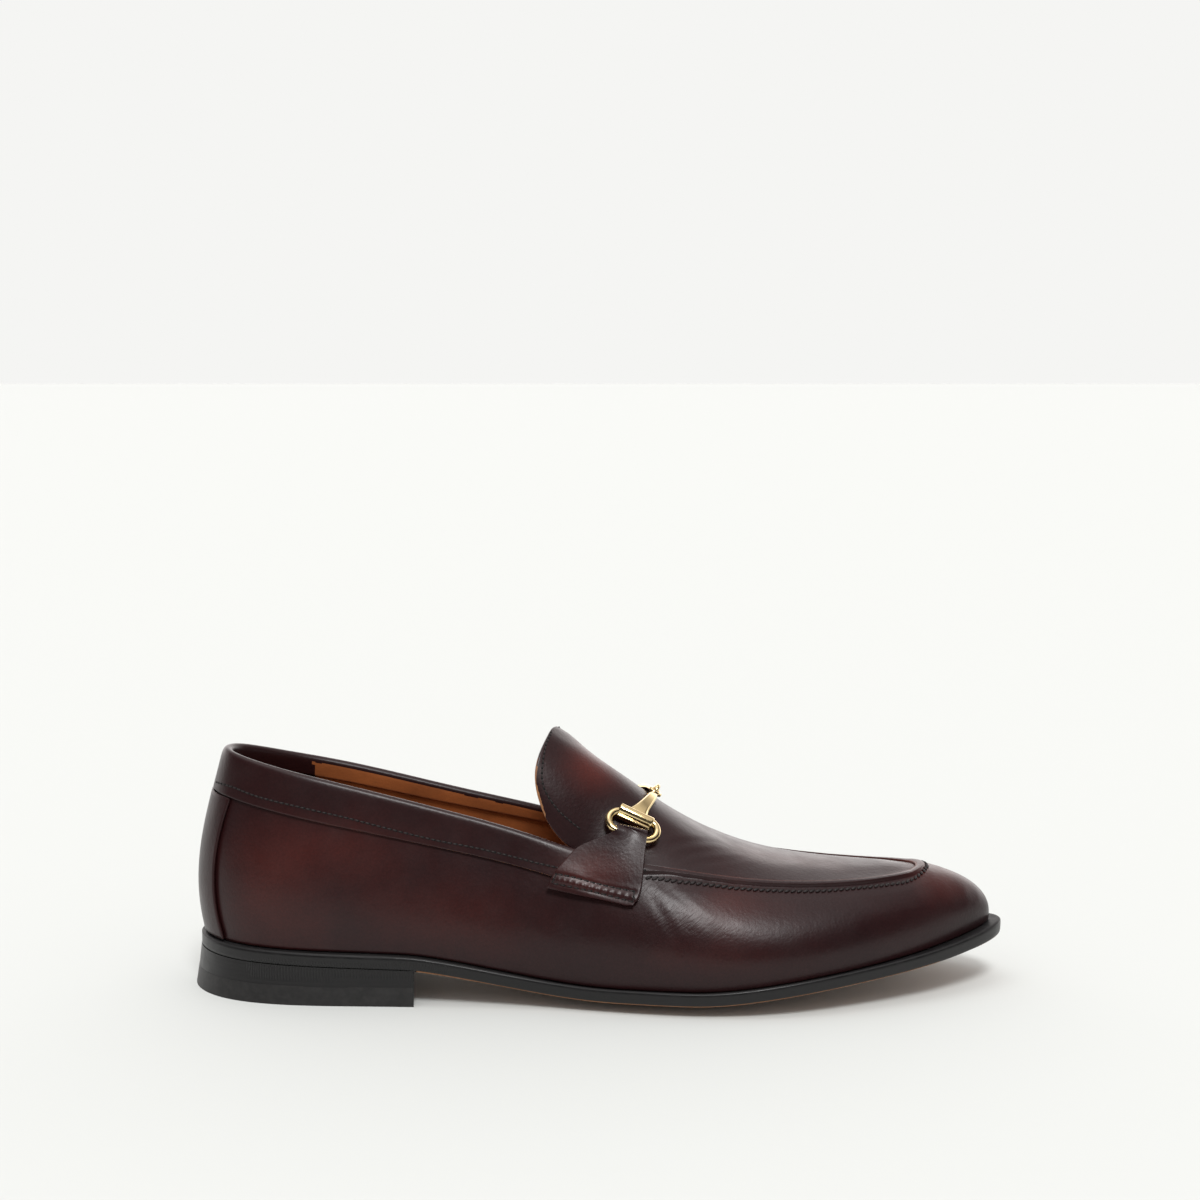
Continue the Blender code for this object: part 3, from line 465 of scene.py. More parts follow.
@dataclass(frozen=True)
class CalfLeather:
    """Box calf, drum dyed dark burgundy, its middle parts rubbed back to a warm red, darker in
    random clouds and near black where patches paint shade low on the toe: a satin skin with pores
    that only a highlight shows."""

    name: str = "burnished_box_calf"
    dark: str = "#190b0d"
    body: str = "#250f10"
    rubbed: str = "#481b16"
    rough: float = 0.35
    pore_mm: float = 0.9  # real pores are near 0.3 mm, drawn coarser to show
    grain_mm: float = 1.7
    fleck_mm: float = 0.9
    wear_mm: float = 9.0
    cloud_mm: float = 26.0

    def build(self) -> Material:
        """Makes the material.

        Returns:
            The leather, which reads the attributes patina and crinkle.
        """
        material, tree, place = new_skin(self.name)
        cloud = noise(tree, place, 1000 / self.cloud_mm, 5.0, Roughness=0.55)
        lift = sum_of(tree, "MULTIPLY_ADD", cloud, 0.42, -0.21)
        shade = sum_of(tree, "ADD", number_at(tree, "patina"), lift, clamp=True)
        tone = ramp(tree, shade, ((0.0, self.dark), (0.38, self.body), (1.0, self.rubbed)))
        fleck = noise(tree, place, 1000 / self.fleck_mm, 3.0)
        fleck_light = spread(tree, fleck, (0.3, 0.7), (0.86, 1.1))
        tint = add_node(tree, "VectorMath", {0: tone, "Scale": fleck_light}, operation="SCALE")
        wear = noise(tree, place, 1000 / self.wear_mm, 4.0)
        rough = spread(tree, wear, (0.25, 0.75), (self.rough - 0.05, self.rough + 0.07))
        pores = add_node(tree, "TexVoronoi", {"Vector": place, "Scale": 1000 / self.pore_mm,
                                              "Randomness": 1.0}, feature="SMOOTH_F1")
        grain = noise(tree, place, 1000 / self.grain_mm, 4.0, Roughness=0.6)
        turned = add_node(tree, "Mapping", {
            "Vector": place, "Rotation": (0.0, math.radians(-36), 0.0),
            "Scale": (0.0050, 0.0040, 0.00072)}, vector_type="TEXTURE")
        wrinkles = noise(tree, turned.outputs[0], 1.0, 2.5, Distortion=0.35)
        folded = sum_of(tree, "MULTIPLY", wrinkles, number_at(tree, "crinkle"))
        skin = sum_of(tree, "MULTIPLY_ADD", pores.outputs["Distance"], 0.32, grain)
        fine = bumps(tree, skin, 0.26, 0.00030)
        creased = bumps(tree, folded, 0.34, 0.0006, Normal=fine)
        surface(tree, {"Base Color": tint.outputs[0], "Roughness": rough, "Normal": creased,
                       "Coat Weight": 0.10, "Coat Roughness": 0.24,
                       "Specular IOR Level": 0.26})
        return material


@dataclass(frozen=True)
class LiningLeather:
    """Vegetable tanned sheepskin lining, undyed: a warm tan with a soft dull face, darker
    and polished where a foot would rub it."""

    name: str = "tan_lining_leather"
    light: str = "#9c5622"
    deep: str = "#7a3f10"
    rough: float = 0.62

    def build(self) -> Material:
        """The lining material."""
        material, tree, place = new_skin(self.name)
        cloud = noise(tree, place, 55.0, 6.0, Roughness=0.6)
        tone = ramp(tree, cloud, ((0.3, self.deep), (0.7, self.light)))
        bump = bumps(tree, noise(tree, place, 1100.0, 4.0), 0.25, 0.0003)
        surface(tree, {"Base Color": tone, "Roughness": self.rough, "Normal": bump,
                       "Sheen Weight": 0.15, "Sheen Roughness": 0.5})
        return material


@dataclass(frozen=True)
class InkedEdge:
    """Sole leather edge, planed, inked black and ironed with hot wax: smooth and satin,
    with faint lines along it from the iron."""

    name: str = "inked_waxed_sole_edge"
    base: str = "#0c0b0c"
    rough: float = 0.38
    line_mm: float = 1.1

    def build(self) -> Material:
        """Makes the material.

        Returns:
            The edge finish, which reads the attributes run and crimp.
        """
        material, tree, place = new_skin(self.name)
        lines = add_node(tree, "Mapping", {"Vector": place, "Scale": (12.0, 12.0, 1000.0)})
        layer = noise(tree, lines.outputs[0], 1 / self.line_mm, 3.0)
        scuff = noise(tree, place, 260.0, 5.0)
        tone = ramp(tree, scuff, ((0.3, self.base), (0.75, "#151314")))
        rough = spread(tree, scuff, (0.3, 0.7), (self.rough - 0.05, self.rough + 0.08))
        teeth = sum_of(tree, "MULTIPLY", number_at(tree, "run"), 2 * math.pi)
        marks = sum_of(tree, "MULTIPLY", sum_of(tree, "SINE", teeth), number_at(tree, "crimp"))
        flat = bumps(tree, layer, 0.18, 0.0003)
        surface(tree, {"Base Color": tone, "Roughness": rough,
                       "Normal": bumps(tree, marks, 0.7, 0.00018, Normal=flat),
                       "Coat Weight": 0.08, "Coat Roughness": 0.25,
                       "Specular IOR Level": 0.4})
        return material


@dataclass(frozen=True)
class SoleLeather:
    """Oak bark tanned sole bend, left natural and waxed: a pale tan that is warm at its
    cut edge, with faint pores and buffing marks."""

    name: str = "natural_sole_leather"
    light: str = "#8f6238"
    deep: str = "#6b4222"

    def build(self) -> Material:
        """The sole leather material."""
        material, tree, place = new_skin(self.name)
        cloud = noise(tree, place, 70.0, 7.0, Roughness=0.65)
        tone = ramp(tree, cloud, ((0.3, self.deep), (0.72, self.light)))
        pores = add_node(tree, "TexVoronoi", {"Vector": place, "Scale": 900.0})
        surface(tree, {"Base Color": tone, "Roughness": 0.5,
                       "Normal": bumps(tree, pores.outputs["Distance"], 0.15, 0.0002),
                       "Coat Weight": 0.1, "Coat Roughness": 0.35})
        return material


@dataclass(frozen=True)
class HeelRubber:
    """Vulcanised rubber top piece, moulded and ground flush: near black and dull."""

    name: str = "ground_black_rubber"

    def build(self) -> Material:
        """The rubber material."""
        material, tree, place = new_skin(self.name)
        dust = noise(tree, place, 420.0, 6.0)
        tone = ramp(tree, dust, ((0.35, "#151414"), (0.75, "#242222")))
        surface(tree, {"Base Color": tone, "Roughness": 0.5,
                       "Normal": bumps(tree, dust, 0.2, 0.0003)})
        return material


@dataclass(frozen=True)
class GiltBrass:
    """Cast brass, polished and plated a pale gold: mirror bright with soft swirls from
    the buffing wheel and a slightly duller bloom in its hollows."""

    name: str = "polished_gilt_brass"
    base: str = "#e9d09c"

    def build(self) -> Material:
        """The metal material."""
        material, tree, place = new_skin(self.name)
        bloom = noise(tree, place, 500.0, 4.0)
        surface(tree, {"Base Color": colour(self.base), "Metallic": 1.0,
                       "Roughness": spread(tree, bloom, (0.3, 0.7), (0.10, 0.19)),
                       "Normal": bumps(tree, bloom, 0.05, 0.0002)})
        return material


@dataclass(frozen=True)
class WaxedThread:
    """Waxed linen thread, dyed to the leather: a dark, slightly shiny twist."""

    name: str
    base: str
    rough: float

    def build(self) -> Material:
        """The thread material."""
        material, tree, place = new_skin(self.name)
        twist = noise(tree, place, 2400.0, 2.0)
        rough = spread(tree, twist, (0.0, 1.0), (self.rough - 0.1, self.rough + 0.1))
        surface(tree, {"Base Color": colour(self.base), "Roughness": rough,
                       "Normal": bumps(tree, twist, 0.4, 0.0002)})
        return material


def made(kind: type, **sizes: object) -> Material:
    """A field that holds this finish, built with these sizes."""
    return field(default_factory=lambda: kind(**sizes).build())


@dataclass
class Finishes:
    """Every material of the shoe, made once."""

    calf: Material = made(CalfLeather)
    raw_edge: Material = made(
        CalfLeather, name="inked_cut_edge_calf", dark="#140c0c", body="#1e1111",
        rubbed="#3a1c15", rough=0.5)
    lip: Material = made(
        CalfLeather, name="rubbed_raised_seam_calf", dark="#2c1614", body="#45201b",
        rubbed="#6a3326", rough=0.42)
    lining: Material = made(LiningLeather)
    sole: Material = made(SoleLeather)
    inked: Material = made(InkedEdge)
    # The welt's top is darker and duller than the rest of the edge, to paint the shade that falls
    # on it.
    welt_top: Material = made(InkedEdge, name="dull_inked_welt_top", base="#0b0a0b", rough=0.62)
    rubber: Material = made(HeelRubber)
    gilt: Material = made(GiltBrass)
    thread: Material = made(WaxedThread, name="dark_waxed_thread", base="#1a1110", rough=0.62)
    seam_thread: Material = made(
        WaxedThread, name="black_waxed_seam_thread", base="#1a1010", rough=0.60)
    # Near-black pods at the needle holes paint the shade inside them.
    hole: Material = made(WaxedThread, name="shaded_needle_hole", base="#050303", rough=0.9)
    tan_edge: Material = made(
        LiningLeather, name="raw_tan_cut_edge", light="#9a6a3e", deep="#6e4324")


# ---------------------------------------------------------------- what marks the leather


@dataclass(frozen=True)
class Patch:
    """One part of the leather that was rubbed back to red, or, where its strength is less than
    nought,
    a painted shade: its middle and reach in the shoe's own mm."""

    middle: Spot
    reach: Spot
    strength: float


@dataclass(frozen=True)
class Crease:
    """One soft fold in the leather: its line in the shoe's own mm, how deep its trough
    is and how wide, and the low ridge that the trough pushes up beside it."""

    line: tuple[Spot, ...]
    depth: float
    width: float
    ridge: float = 0.45

    def move(self, points: Points) -> Points:
        """How far each point moves along its own facing, in metres.

        Args:
            points: Points in metres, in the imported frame.

        Returns:
            The moves, less than nought in the trough.
        """
        corners, _ = along_line(placed(self.line), np.linspace(0, 1, 13))
        gap, where = distance_to_line(points, corners)
        wide = self.width * MM
        trough = np.exp(-(gap / wide) ** 2)
        ridge = np.exp(-((gap - 1.7 * wide) / wide) ** 2)
        fade = np.clip(np.minimum(where, 1 - where) * 5, 0, 1)
        return self.depth * MM * (self.ridge * ridge - trough) * (0.15 + 0.85 * fade)


PATCHES = (
    Patch((147, -9, 81), (11, 14, 9), 0.62),
    Patch((147, 9, 81), (11, 14, 9), 0.62),
    Patch((148, -36, 50), (12, 9, 7), 0.40),
    Patch((148, 36, 50), (12, 9, 7), 0.40),
    Patch((196, -42, 38), (22, 16, 8), 0.30),
    Patch((190, -46, 22), (24, 14, 7), 0.20),
    Patch((196, 42, 38), (22, 16, 8), 0.30),
    Patch((276, 0, 40), (14, 24, 10), 0.48),
    Patch((55, -36, 58), (34, 16, 12), 0.42),
    Patch((30, -30, 40), (20, 20, 20), 0.32),
    Patch((90, -36, 34), (40, 20, 16), 0.26),
    Patch((55, 34, 58), (34, 16, 12), 0.42),
    Patch((90, 32, 34), (40, 20, 16), 0.26),
    Patch((220, -4, 50), (30, 14, 9), 0.28),
    # The last two darken the leather low on the toe beside the welt: painted shade.
    Patch((243, -38, 22), (20, 18, 10), -0.12),
    Patch((285, -8, 24), (18, 30, 9), -0.10),
)


def patched(points: Points, patches: Sequence[Patch], start: float = 0.0) -> Points:
    """The patches' strengths added up at each point, from this start, 0 to 1."""
    value = np.full(len(points), start)
    for patch in patches:
        offset = (points - placed([patch.middle])[0]) / (np.array(patch.reach) * MM)
        value += patch.strength * np.exp(-(offset ** 2).sum(axis=1))
    return np.clip(value, 0, 1)


def skins(obj: Piece, edge_below: float = 0.33) -> None:
    """Numbers the faces of a leather wall by which way they look.

    Args:
        obj: The wall, before its subdivision.
        edge_below: A face that looks this little to or from the shoe's inside is an edge.
    """
    faces = obj.data.polygons
    looks = look_out(np.array([face.center[:] for face in faces]),
                     np.array([face.normal[:] for face in faces]))
    for face, look in zip(faces, looks):
        skin = Skin.OUTER if look > edge_below else Skin.LINING
        face.material_index = (Skin.EDGE if abs(look) <= edge_below else skin).value


def number_near(obj: Piece, tree: BVHTree, reach: float, old: set[int], number: int) -> None:
    """Gives another material number to the faces that lie near a surface.

    Args:
        obj: The piece.
        tree: The surface.
        reach: How near, mm.
        old: The numbers that may change.
        number: Their new number.
    """
    for face in obj.data.polygons:
        if face.material_index in old:
            near = tree.find_nearest(face.center, reach * MM)[0]
            if near is not None:
                face.material_index = number


def face_tree(obj: Piece, number: int) -> BVHTree:
    """A search tree over the faces of a piece with this material number."""
    points = [vertex.co.copy() for vertex in obj.data.vertices]
    faces = [face.vertices[:] for face in obj.data.polygons if face.material_index == number]
    return BVHTree.FromPolygons(points, faces)


def slide(obj: Piece, moves: Points) -> None:
    """Moves a trim piece over the upper, at the height above it that each point has.

    Args:
        obj: The trim piece.
        moves: How far each of its points goes, metres.
    """
    tree = search_tree(bpy.data.objects["upper"])
    points, _ = shape_of(obj)
    for i in np.flatnonzero(np.abs(moves).sum(axis=1) > 1e-6):
        near, facing, _, _ = tree.find_nearest(Vector(points[i]))
        above = (Vector(points[i]) - near).dot(facing)
        if above < -0.3 * MM:
            continue
        points[i] += moves[i]
        near, facing, _, _ = tree.find_nearest(Vector(points[i]))
        points[i] += np.array(facing) * (above - (Vector(points[i]) - near).dot(facing))
    reshape(obj, points)


def tighten_seam(obj: Piece, apron: BVHTree, most: float = 0.60, near_by: float = 2.2,
                 reach: float = 9.0, start: float = 0.012) -> None:
    """Draws the raised seam in to the apron's cut edge, so that it is a narrow welt.

    Args:
        obj: The upper.
        apron: The apron's cut edge.
        most: The share of its distance that a point loses at most.
        near_by: Points this near to the apron move the most, mm.
        reach: Points this far from it don't move, mm.
        start: Where along the shoe it starts, m. It is full after as much again.
    """
    points, _ = shape_of(obj)
    for i in np.flatnonzero(points[:, 0] >= start):
        near = apron.find_nearest(Vector(points[i]), reach * MM)[0]
        if near is None:
            continue
        gap = (Vector(points[i]) - near).length / MM
        full = min(1.0, (points[i][0] - start) / start)
        away = min(1.0, max(0.0, (gap - near_by) / (reach - near_by)))
        near = np.array(near)
        points[i] = near + (points[i] - near) * (1 - full * most * (1 - away) ** 1.5)
    reshape(obj, points)


def draw_back(obj: Piece, by: float = 2.6) -> None:
    """Moves the seam's front end back along the top of the toe by this much, mm."""
    points, _ = shape_of(obj)
    x, _, z = own_mm(points).T
    share = np.exp(-((x - 266) / 15) ** 2) * np.clip((z - 33) / 8, 0, 1)
    points[:, 0] -= by * share * MM
    points[:, 2] += by * share * 0.42 * np.clip((x - 267) / 7, 0, 1) * MM
    reshape(obj, points)


def leather_marks(obj: Piece, crinkles: Sequence[Patch] = ()) -> None:
    """Writes the attributes that the calf material reads."""
    points, _ = shape_of(obj)
    write_attribute(obj, "patina", patched(points, PATCHES, 0.30))
    write_attribute(obj, "crinkle", patched(points, crinkles))


def folds(points: Points, creases: Sequence[Crease]) -> Points:
    """How far all the creases move each point along its own facing, metres."""
    return sum((crease.move(points) for crease in creases), np.zeros(len(points)))


# ---------------------------------------------------------------- sewing


@dataclass
class Sewing:
    """One row of stitches: its line in the shoe's own mm, and the thread's sizes."""

    name: str
    line: Points
    pitch: float = 2.1
    length: float = 1.55
    thick: float = 0.42
    sink: float = 0.10
    slant: float = 0.0
    needle: Spot = (0.9, 0.85, 0.26)  # a needle hole's length, width and depth
    reach: float = 4.0  # a stitch further than this from the leather is left out

    def template(self) -> tuple[Points, list]:
        """One stitch as a thin closed pod along x, one unit long and thick.

        Returns:
            Its points and faces.
        """
        rings, around = 5, 8
        down = np.repeat(math.pi * np.arange(1, rings + 1) / (rings + 1), around)
        turn = np.tile(2 * math.pi * np.arange(around) / around, rings)
        x = np.sign(np.cos(down)) * np.abs(np.cos(down)) ** 0.8
        ring_points = np.stack([x, np.sin(down) * np.sin(turn),
                                np.sin(down) * np.cos(turn)], axis=1)
        points = np.vstack([(1.0, 0.0, 0.0), ring_points, (-1.0, 0.0, 0.0)]) / 2
        faces = []
        for i, j in ((i, (i + 1) % around) for i in range(around)):
            faces.append((0, 1 + j, 1 + i))
            faces.extend((first + i, first + j, first + around + j, first + around + i)
                         for first in range(1, 1 + (rings - 1) * around, around))
            faces.append((len(points) - 1, *(1 + (rings - 1) * around + k for k in (i, j))))
        return points, faces

    def spots(self, tree: BVHTree) -> list[tuple[Points, Points, Points]]:
        """The middle, direction and facing of each stitch on the surface under the row."""
        world = placed(self.line)
        count = max(2, int(round(line_length(world) / (self.pitch * MM))))
        place, way = along_line(world, (np.arange(count) + 0.5) / count)
        found = []
        for spot, ahead in zip(place, way):
            near, facing, _, _ = tree.find_nearest(Vector(spot))
            if near is None or (near - Vector(spot)).length > self.reach * MM:
                continue
            facing = np.array(facing)
            ahead = unit(ahead - facing * (ahead @ facing))
            across = np.cross(facing, ahead)
            ahead = unit(ahead + across * math.tan(math.radians(self.slant)))
            found.append((np.array(near), ahead, facing))
        return found

    def build(self, tree: BVHTree, thread: Material, hole: Material) -> Piece:
        """Sews the row.

        Args:
            tree: The surface it lies on.
            thread: The thread's material.
            hole: The near-black material that paints shade in the needle holes.

        Returns:
            The row as one joined mesh.
        """
        pod, pod_faces = self.template()
        points, faces, numbers = [], [], []

        def lay(centre: Points, frame: Points, sizes: Points, number: int) -> None:
            """Adds one pod to the row."""
            first = len(points) * len(pod)
            points.append(centre + (pod * sizes) @ frame)
            faces.extend(tuple(first + i for i in face) for face in pod_faces)
            numbers.extend([number] * len(pod_faces))

        for centre, ahead, facing in self.spots(tree):
            frame = np.stack([ahead, np.cross(facing, ahead), facing])
            lift = (0.5 * self.thick - self.sink) * MM
            lay(centre + facing * lift * 0.6, frame,
                np.array([self.length, self.thick, self.thick * 0.75]) * MM, 0)
            # A near-black pod at the stitch's end paints the shade in its needle hole.
            end = ahead * self.length * 0.5 * MM
            lay(centre + end, frame, np.array(self.needle) * MM, 1)
        mesh = bpy.data.meshes.new(self.name)
        mesh.from_pydata(np.vstack(points).tolist(), [], faces)
        obj = new_object(self.name, mesh)
        mesh.polygons.foreach_set("material_index", numbers)
        dress(obj, "calf_leather", thread, hole, angle=80)
        return obj


# ---------------------------------------------------------------- the pieces


@dataclass
class Upper:
    """Quarters and vamp in one wall, with the raised seam round the apron."""

    finishes: Finishes
    levels: int = 2
    creases: tuple[Crease, ...] = (
        Crease(((170, -36, 47), (182, -43, 40), (192, -49, 30)), 0.13, 1.7),
        Crease(((178, -38, 46), (192, -45, 38), (206, -49, 28)), 0.11, 1.8),
        Crease(((168, -39, 42), (175, -46, 32), (180, -50, 22)), 0.11, 1.6),
        Crease(((176, 36, 46), (190, 43, 38), (204, 48, 28)), 0.32, 2.4),
        Crease(((168, 37, 43), (178, 44, 33), (186, 49, 22)), 0.28, 2.2),
        Crease(((112, -37, 46), (128, -40, 36), (140, -44, 25)), 0.22, 3.5),
        Crease(((60, -36, 60), (90, -39, 48), (118, -41, 36)), 0.18, 5.0),
        Crease(((108, 30, 44), (124, 32, 34), (138, 38, 24)), 0.22, 3.5),
    )
    crinkles: tuple[Patch, ...] = (
        Patch((171, -42, 38), (10, 14, 10), 1.0),
        Patch((185, -44, 35), (15, 14, 8), 0.5),
        Patch((172, 42, 38), (12, 14, 9), 0.8),
    )

    def build(self) -> Piece:
        """Makes and dresses the upper.

        Returns:
            The upper, with its lining inside.
        """
        obj = merged_copy("upper", "calf_upper")
        skins(obj, 0.12)
        crease_edges(obj, 48, 0.62)
        subdivide(obj, self.levels)
        self.refine(obj)
        apron = search_tree(bpy.data.objects["apron_tongue"])
        tighten_seam(obj, apron)
        number_near(obj, apron, 0.9, {0, 1, 2}, Skin.LIP.value)
        for face in obj.data.polygons:
            lining = face.material_index == Skin.LINING.value
            if lining and face.center.x > SEAM_BACK and face.center.z > 0.034:
                face.material_index = Skin.LIP.value
            elif lining and face.center.x < HEEL_GRIP:
                face.material_index = Skin.OUTER.value
        draw_back(obj)
        points, facing = shape_of(obj)
        move = folds(points, self.creases) * np.clip(look_out(points, facing) * 4, 0, 1)
        reshape(obj, points + facing * move[:, None])
        leather_marks(obj, self.crinkles)
        dress(obj, "calf_leather", self.finishes.calf, self.finishes.lining,
              self.finishes.raw_edge, self.finishes.lip, node="upper")
        return obj

    def refine(self, obj: Piece) -> None:
        """Halves the outer faces once more, so that narrow folds keep their shape."""
        only(obj)
        bpy.ops.object.mode_set(mode="EDIT")
        bpy.ops.mesh.select_mode(type="FACE")
        bpy.ops.mesh.select_all(action="DESELECT")
        bpy.ops.object.mode_set(mode="OBJECT")
        for face in obj.data.polygons:
            face.select = face.material_index == Skin.OUTER.value
        bpy.ops.object.mode_set(mode="EDIT")
        bpy.ops.mesh.subdivide(number_cuts=1, smoothness=0.9)
        bpy.ops.object.mode_set(mode="OBJECT")


def tongue_turn(points: Points) -> Points:
    """How far forward the tongue's inner side stands, mm, at points in the shoe's own mm."""
    share = np.clip((points[:, 1] + 4) / 14, 0, 1) * np.clip((152 - points[:, 0]) / 16, 0, 1)
    return 3.4 * share * share * (3 - 2 * share)


@dataclass
class Apron:
    """The apron and its tongue in one curved sheet, tan underneath."""

    finishes: Finishes
    levels: int = 3
    creases: tuple[Crease, ...] = (
        Crease(((172, -26, 56), (184, -18, 57), (196, -8, 56)), 0.15, 1.8),
        Crease(((177, -28, 53), (190, -20, 54), (202, -10, 53.5)), 0.12, 1.6),
        Crease(((183, -29, 51), (196, -22, 51.5), (208, -12, 51)), 0.14, 1.6),
        Crease(((178, 28, 53), (190, 20, 54), (202, 10, 53.5)), 0.18, 1.8),
        Crease(((186, 2, 57), (196, 0, 54), (206, -1, 51)), 0.10, 4.0),
    )
    crinkles: tuple[Patch, ...] = (Patch((180, -22, 56), (14, 12, 8), 0.35),)
    bare: Spot = (-0.003, 0.014, 0.084)  # its cut edge shows behind, outside and below these, m
    line_wide: float = 0.45

    def build(self) -> Piece:
        """The apron, dressed."""
        obj = merged_copy("apron_tongue", "apron_and_tongue")
        skins(obj)
        crease_edges(obj, 48, 0.6)
        subdivide(obj, self.levels)
        draw_back(obj)
        points, facing = shape_of(obj)
        move = folds(points, self.creases)
        reshape(obj, points + facing * move[:, None] * np.clip(facing[:, 2:] * 4, 0, 1))
        self.hang_tongue(obj)
        cut = face_tree(obj, Skin.EDGE.value)
        number_near(obj, cut, 3.0, {Skin.LINING.value}, Skin.EDGE.value)
        for face in obj.data.polygons:
            x, y, z = face.center
            low = x < self.bare[0] and abs(y) > self.bare[1] and z < self.bare[2]
            if low and face.material_index == Skin.OUTER.value and cut.find_nearest(
                    face.center, self.line_wide * MM)[0]:
                face.material_index = Skin.EDGE.value
        leather_marks(obj, self.crinkles)
        dress(obj, "calf_leather", self.finishes.calf, self.finishes.lining,
              self.finishes.tan_edge, node="apron_tongue")
        return obj

    def hang_tongue(self, obj: Piece) -> None:
        """Lets the inner side of the tongue's end stand a little further forward."""
        points, _ = shape_of(obj)
        points[:, 0] += tongue_turn(own_mm(points)) * MM
        reshape(obj, points)


@dataclass
class Trim:
    """The collar band and the strip down the back, both laid over the upper."""

    finishes: Finishes
    levels: int = 3

    def build(self) -> tuple[Piece, Piece]:
        """Makes and dresses the two.

        Returns:
            The collar band and the back strip.
        """
        made = []
        for node, name in (("collar_band", "rolled_collar_band"), ("heel_counter", "back_strip")):
            obj = merged_copy(node, name)
            if node == "collar_band":
                self.raise_edge(obj)
            crease_edges(obj, 48, 0.5)
            subdivide(obj, self.levels if node == "collar_band" else 2)
            leather_marks(obj)
            if node == "collar_band":
                self.line_inside(obj)
            dress(obj, "calf_leather", self.finishes.calf, self.finishes.lining, node=node)
            made.append(obj)
        return made[0], made[1]

    def raise_edge(self, obj: Piece, by: float = 3.4) -> None:
        """Makes the band's outer face narrower toward the strap, by this much, mm."""
        points, _ = shape_of(obj)
        x, _, z = own_mm(points).T
        low = np.interp(x, (0, 60, 100, 135, 170), (62, 59.5, 52, 43.5, 38))
        share = np.clip((x - 50) / 75, 0, 1) * np.clip(1 - (z - low - 2.2) / 9, 0, 1)
        moves = np.zeros_like(points)
        moves[:, 2] = by * share * MM
        slide(obj, moves)

    def line_inside(self, obj: Piece, rolled: float = 3.0) -> None:
        """Gives the lining to the band's inner face, below the leather rolled over its rim.

        Args:
            obj: The band.
            rolled: How far down inside the rolled leather reaches, mm.
        """
        points, _ = shape_of(obj)
        skins(obj, 0.1)
        stations = np.arange(points[:, 0].min(), points[:, 0].max(), 4 * MM)
        rims = []
        for side in Side:
            part = points[(points[:, 1] - MIDDLE * MM) * side.value >= 0]
            rims.append([part[np.abs(part[:, 0] - x) < 4 * MM, 2].max(initial=0.0)
                         for x in stations])
        for face in obj.data.polygons:
            middle = face.center
            top = np.interp(middle.x, stations, rims[int(middle.y > MIDDLE * MM)])
            inward = face.material_index == Skin.LINING.value
            lined = inward and middle.z < top - rolled * MM and middle.x > HEEL_GRIP
            face.material_index = 1 if lined else 0


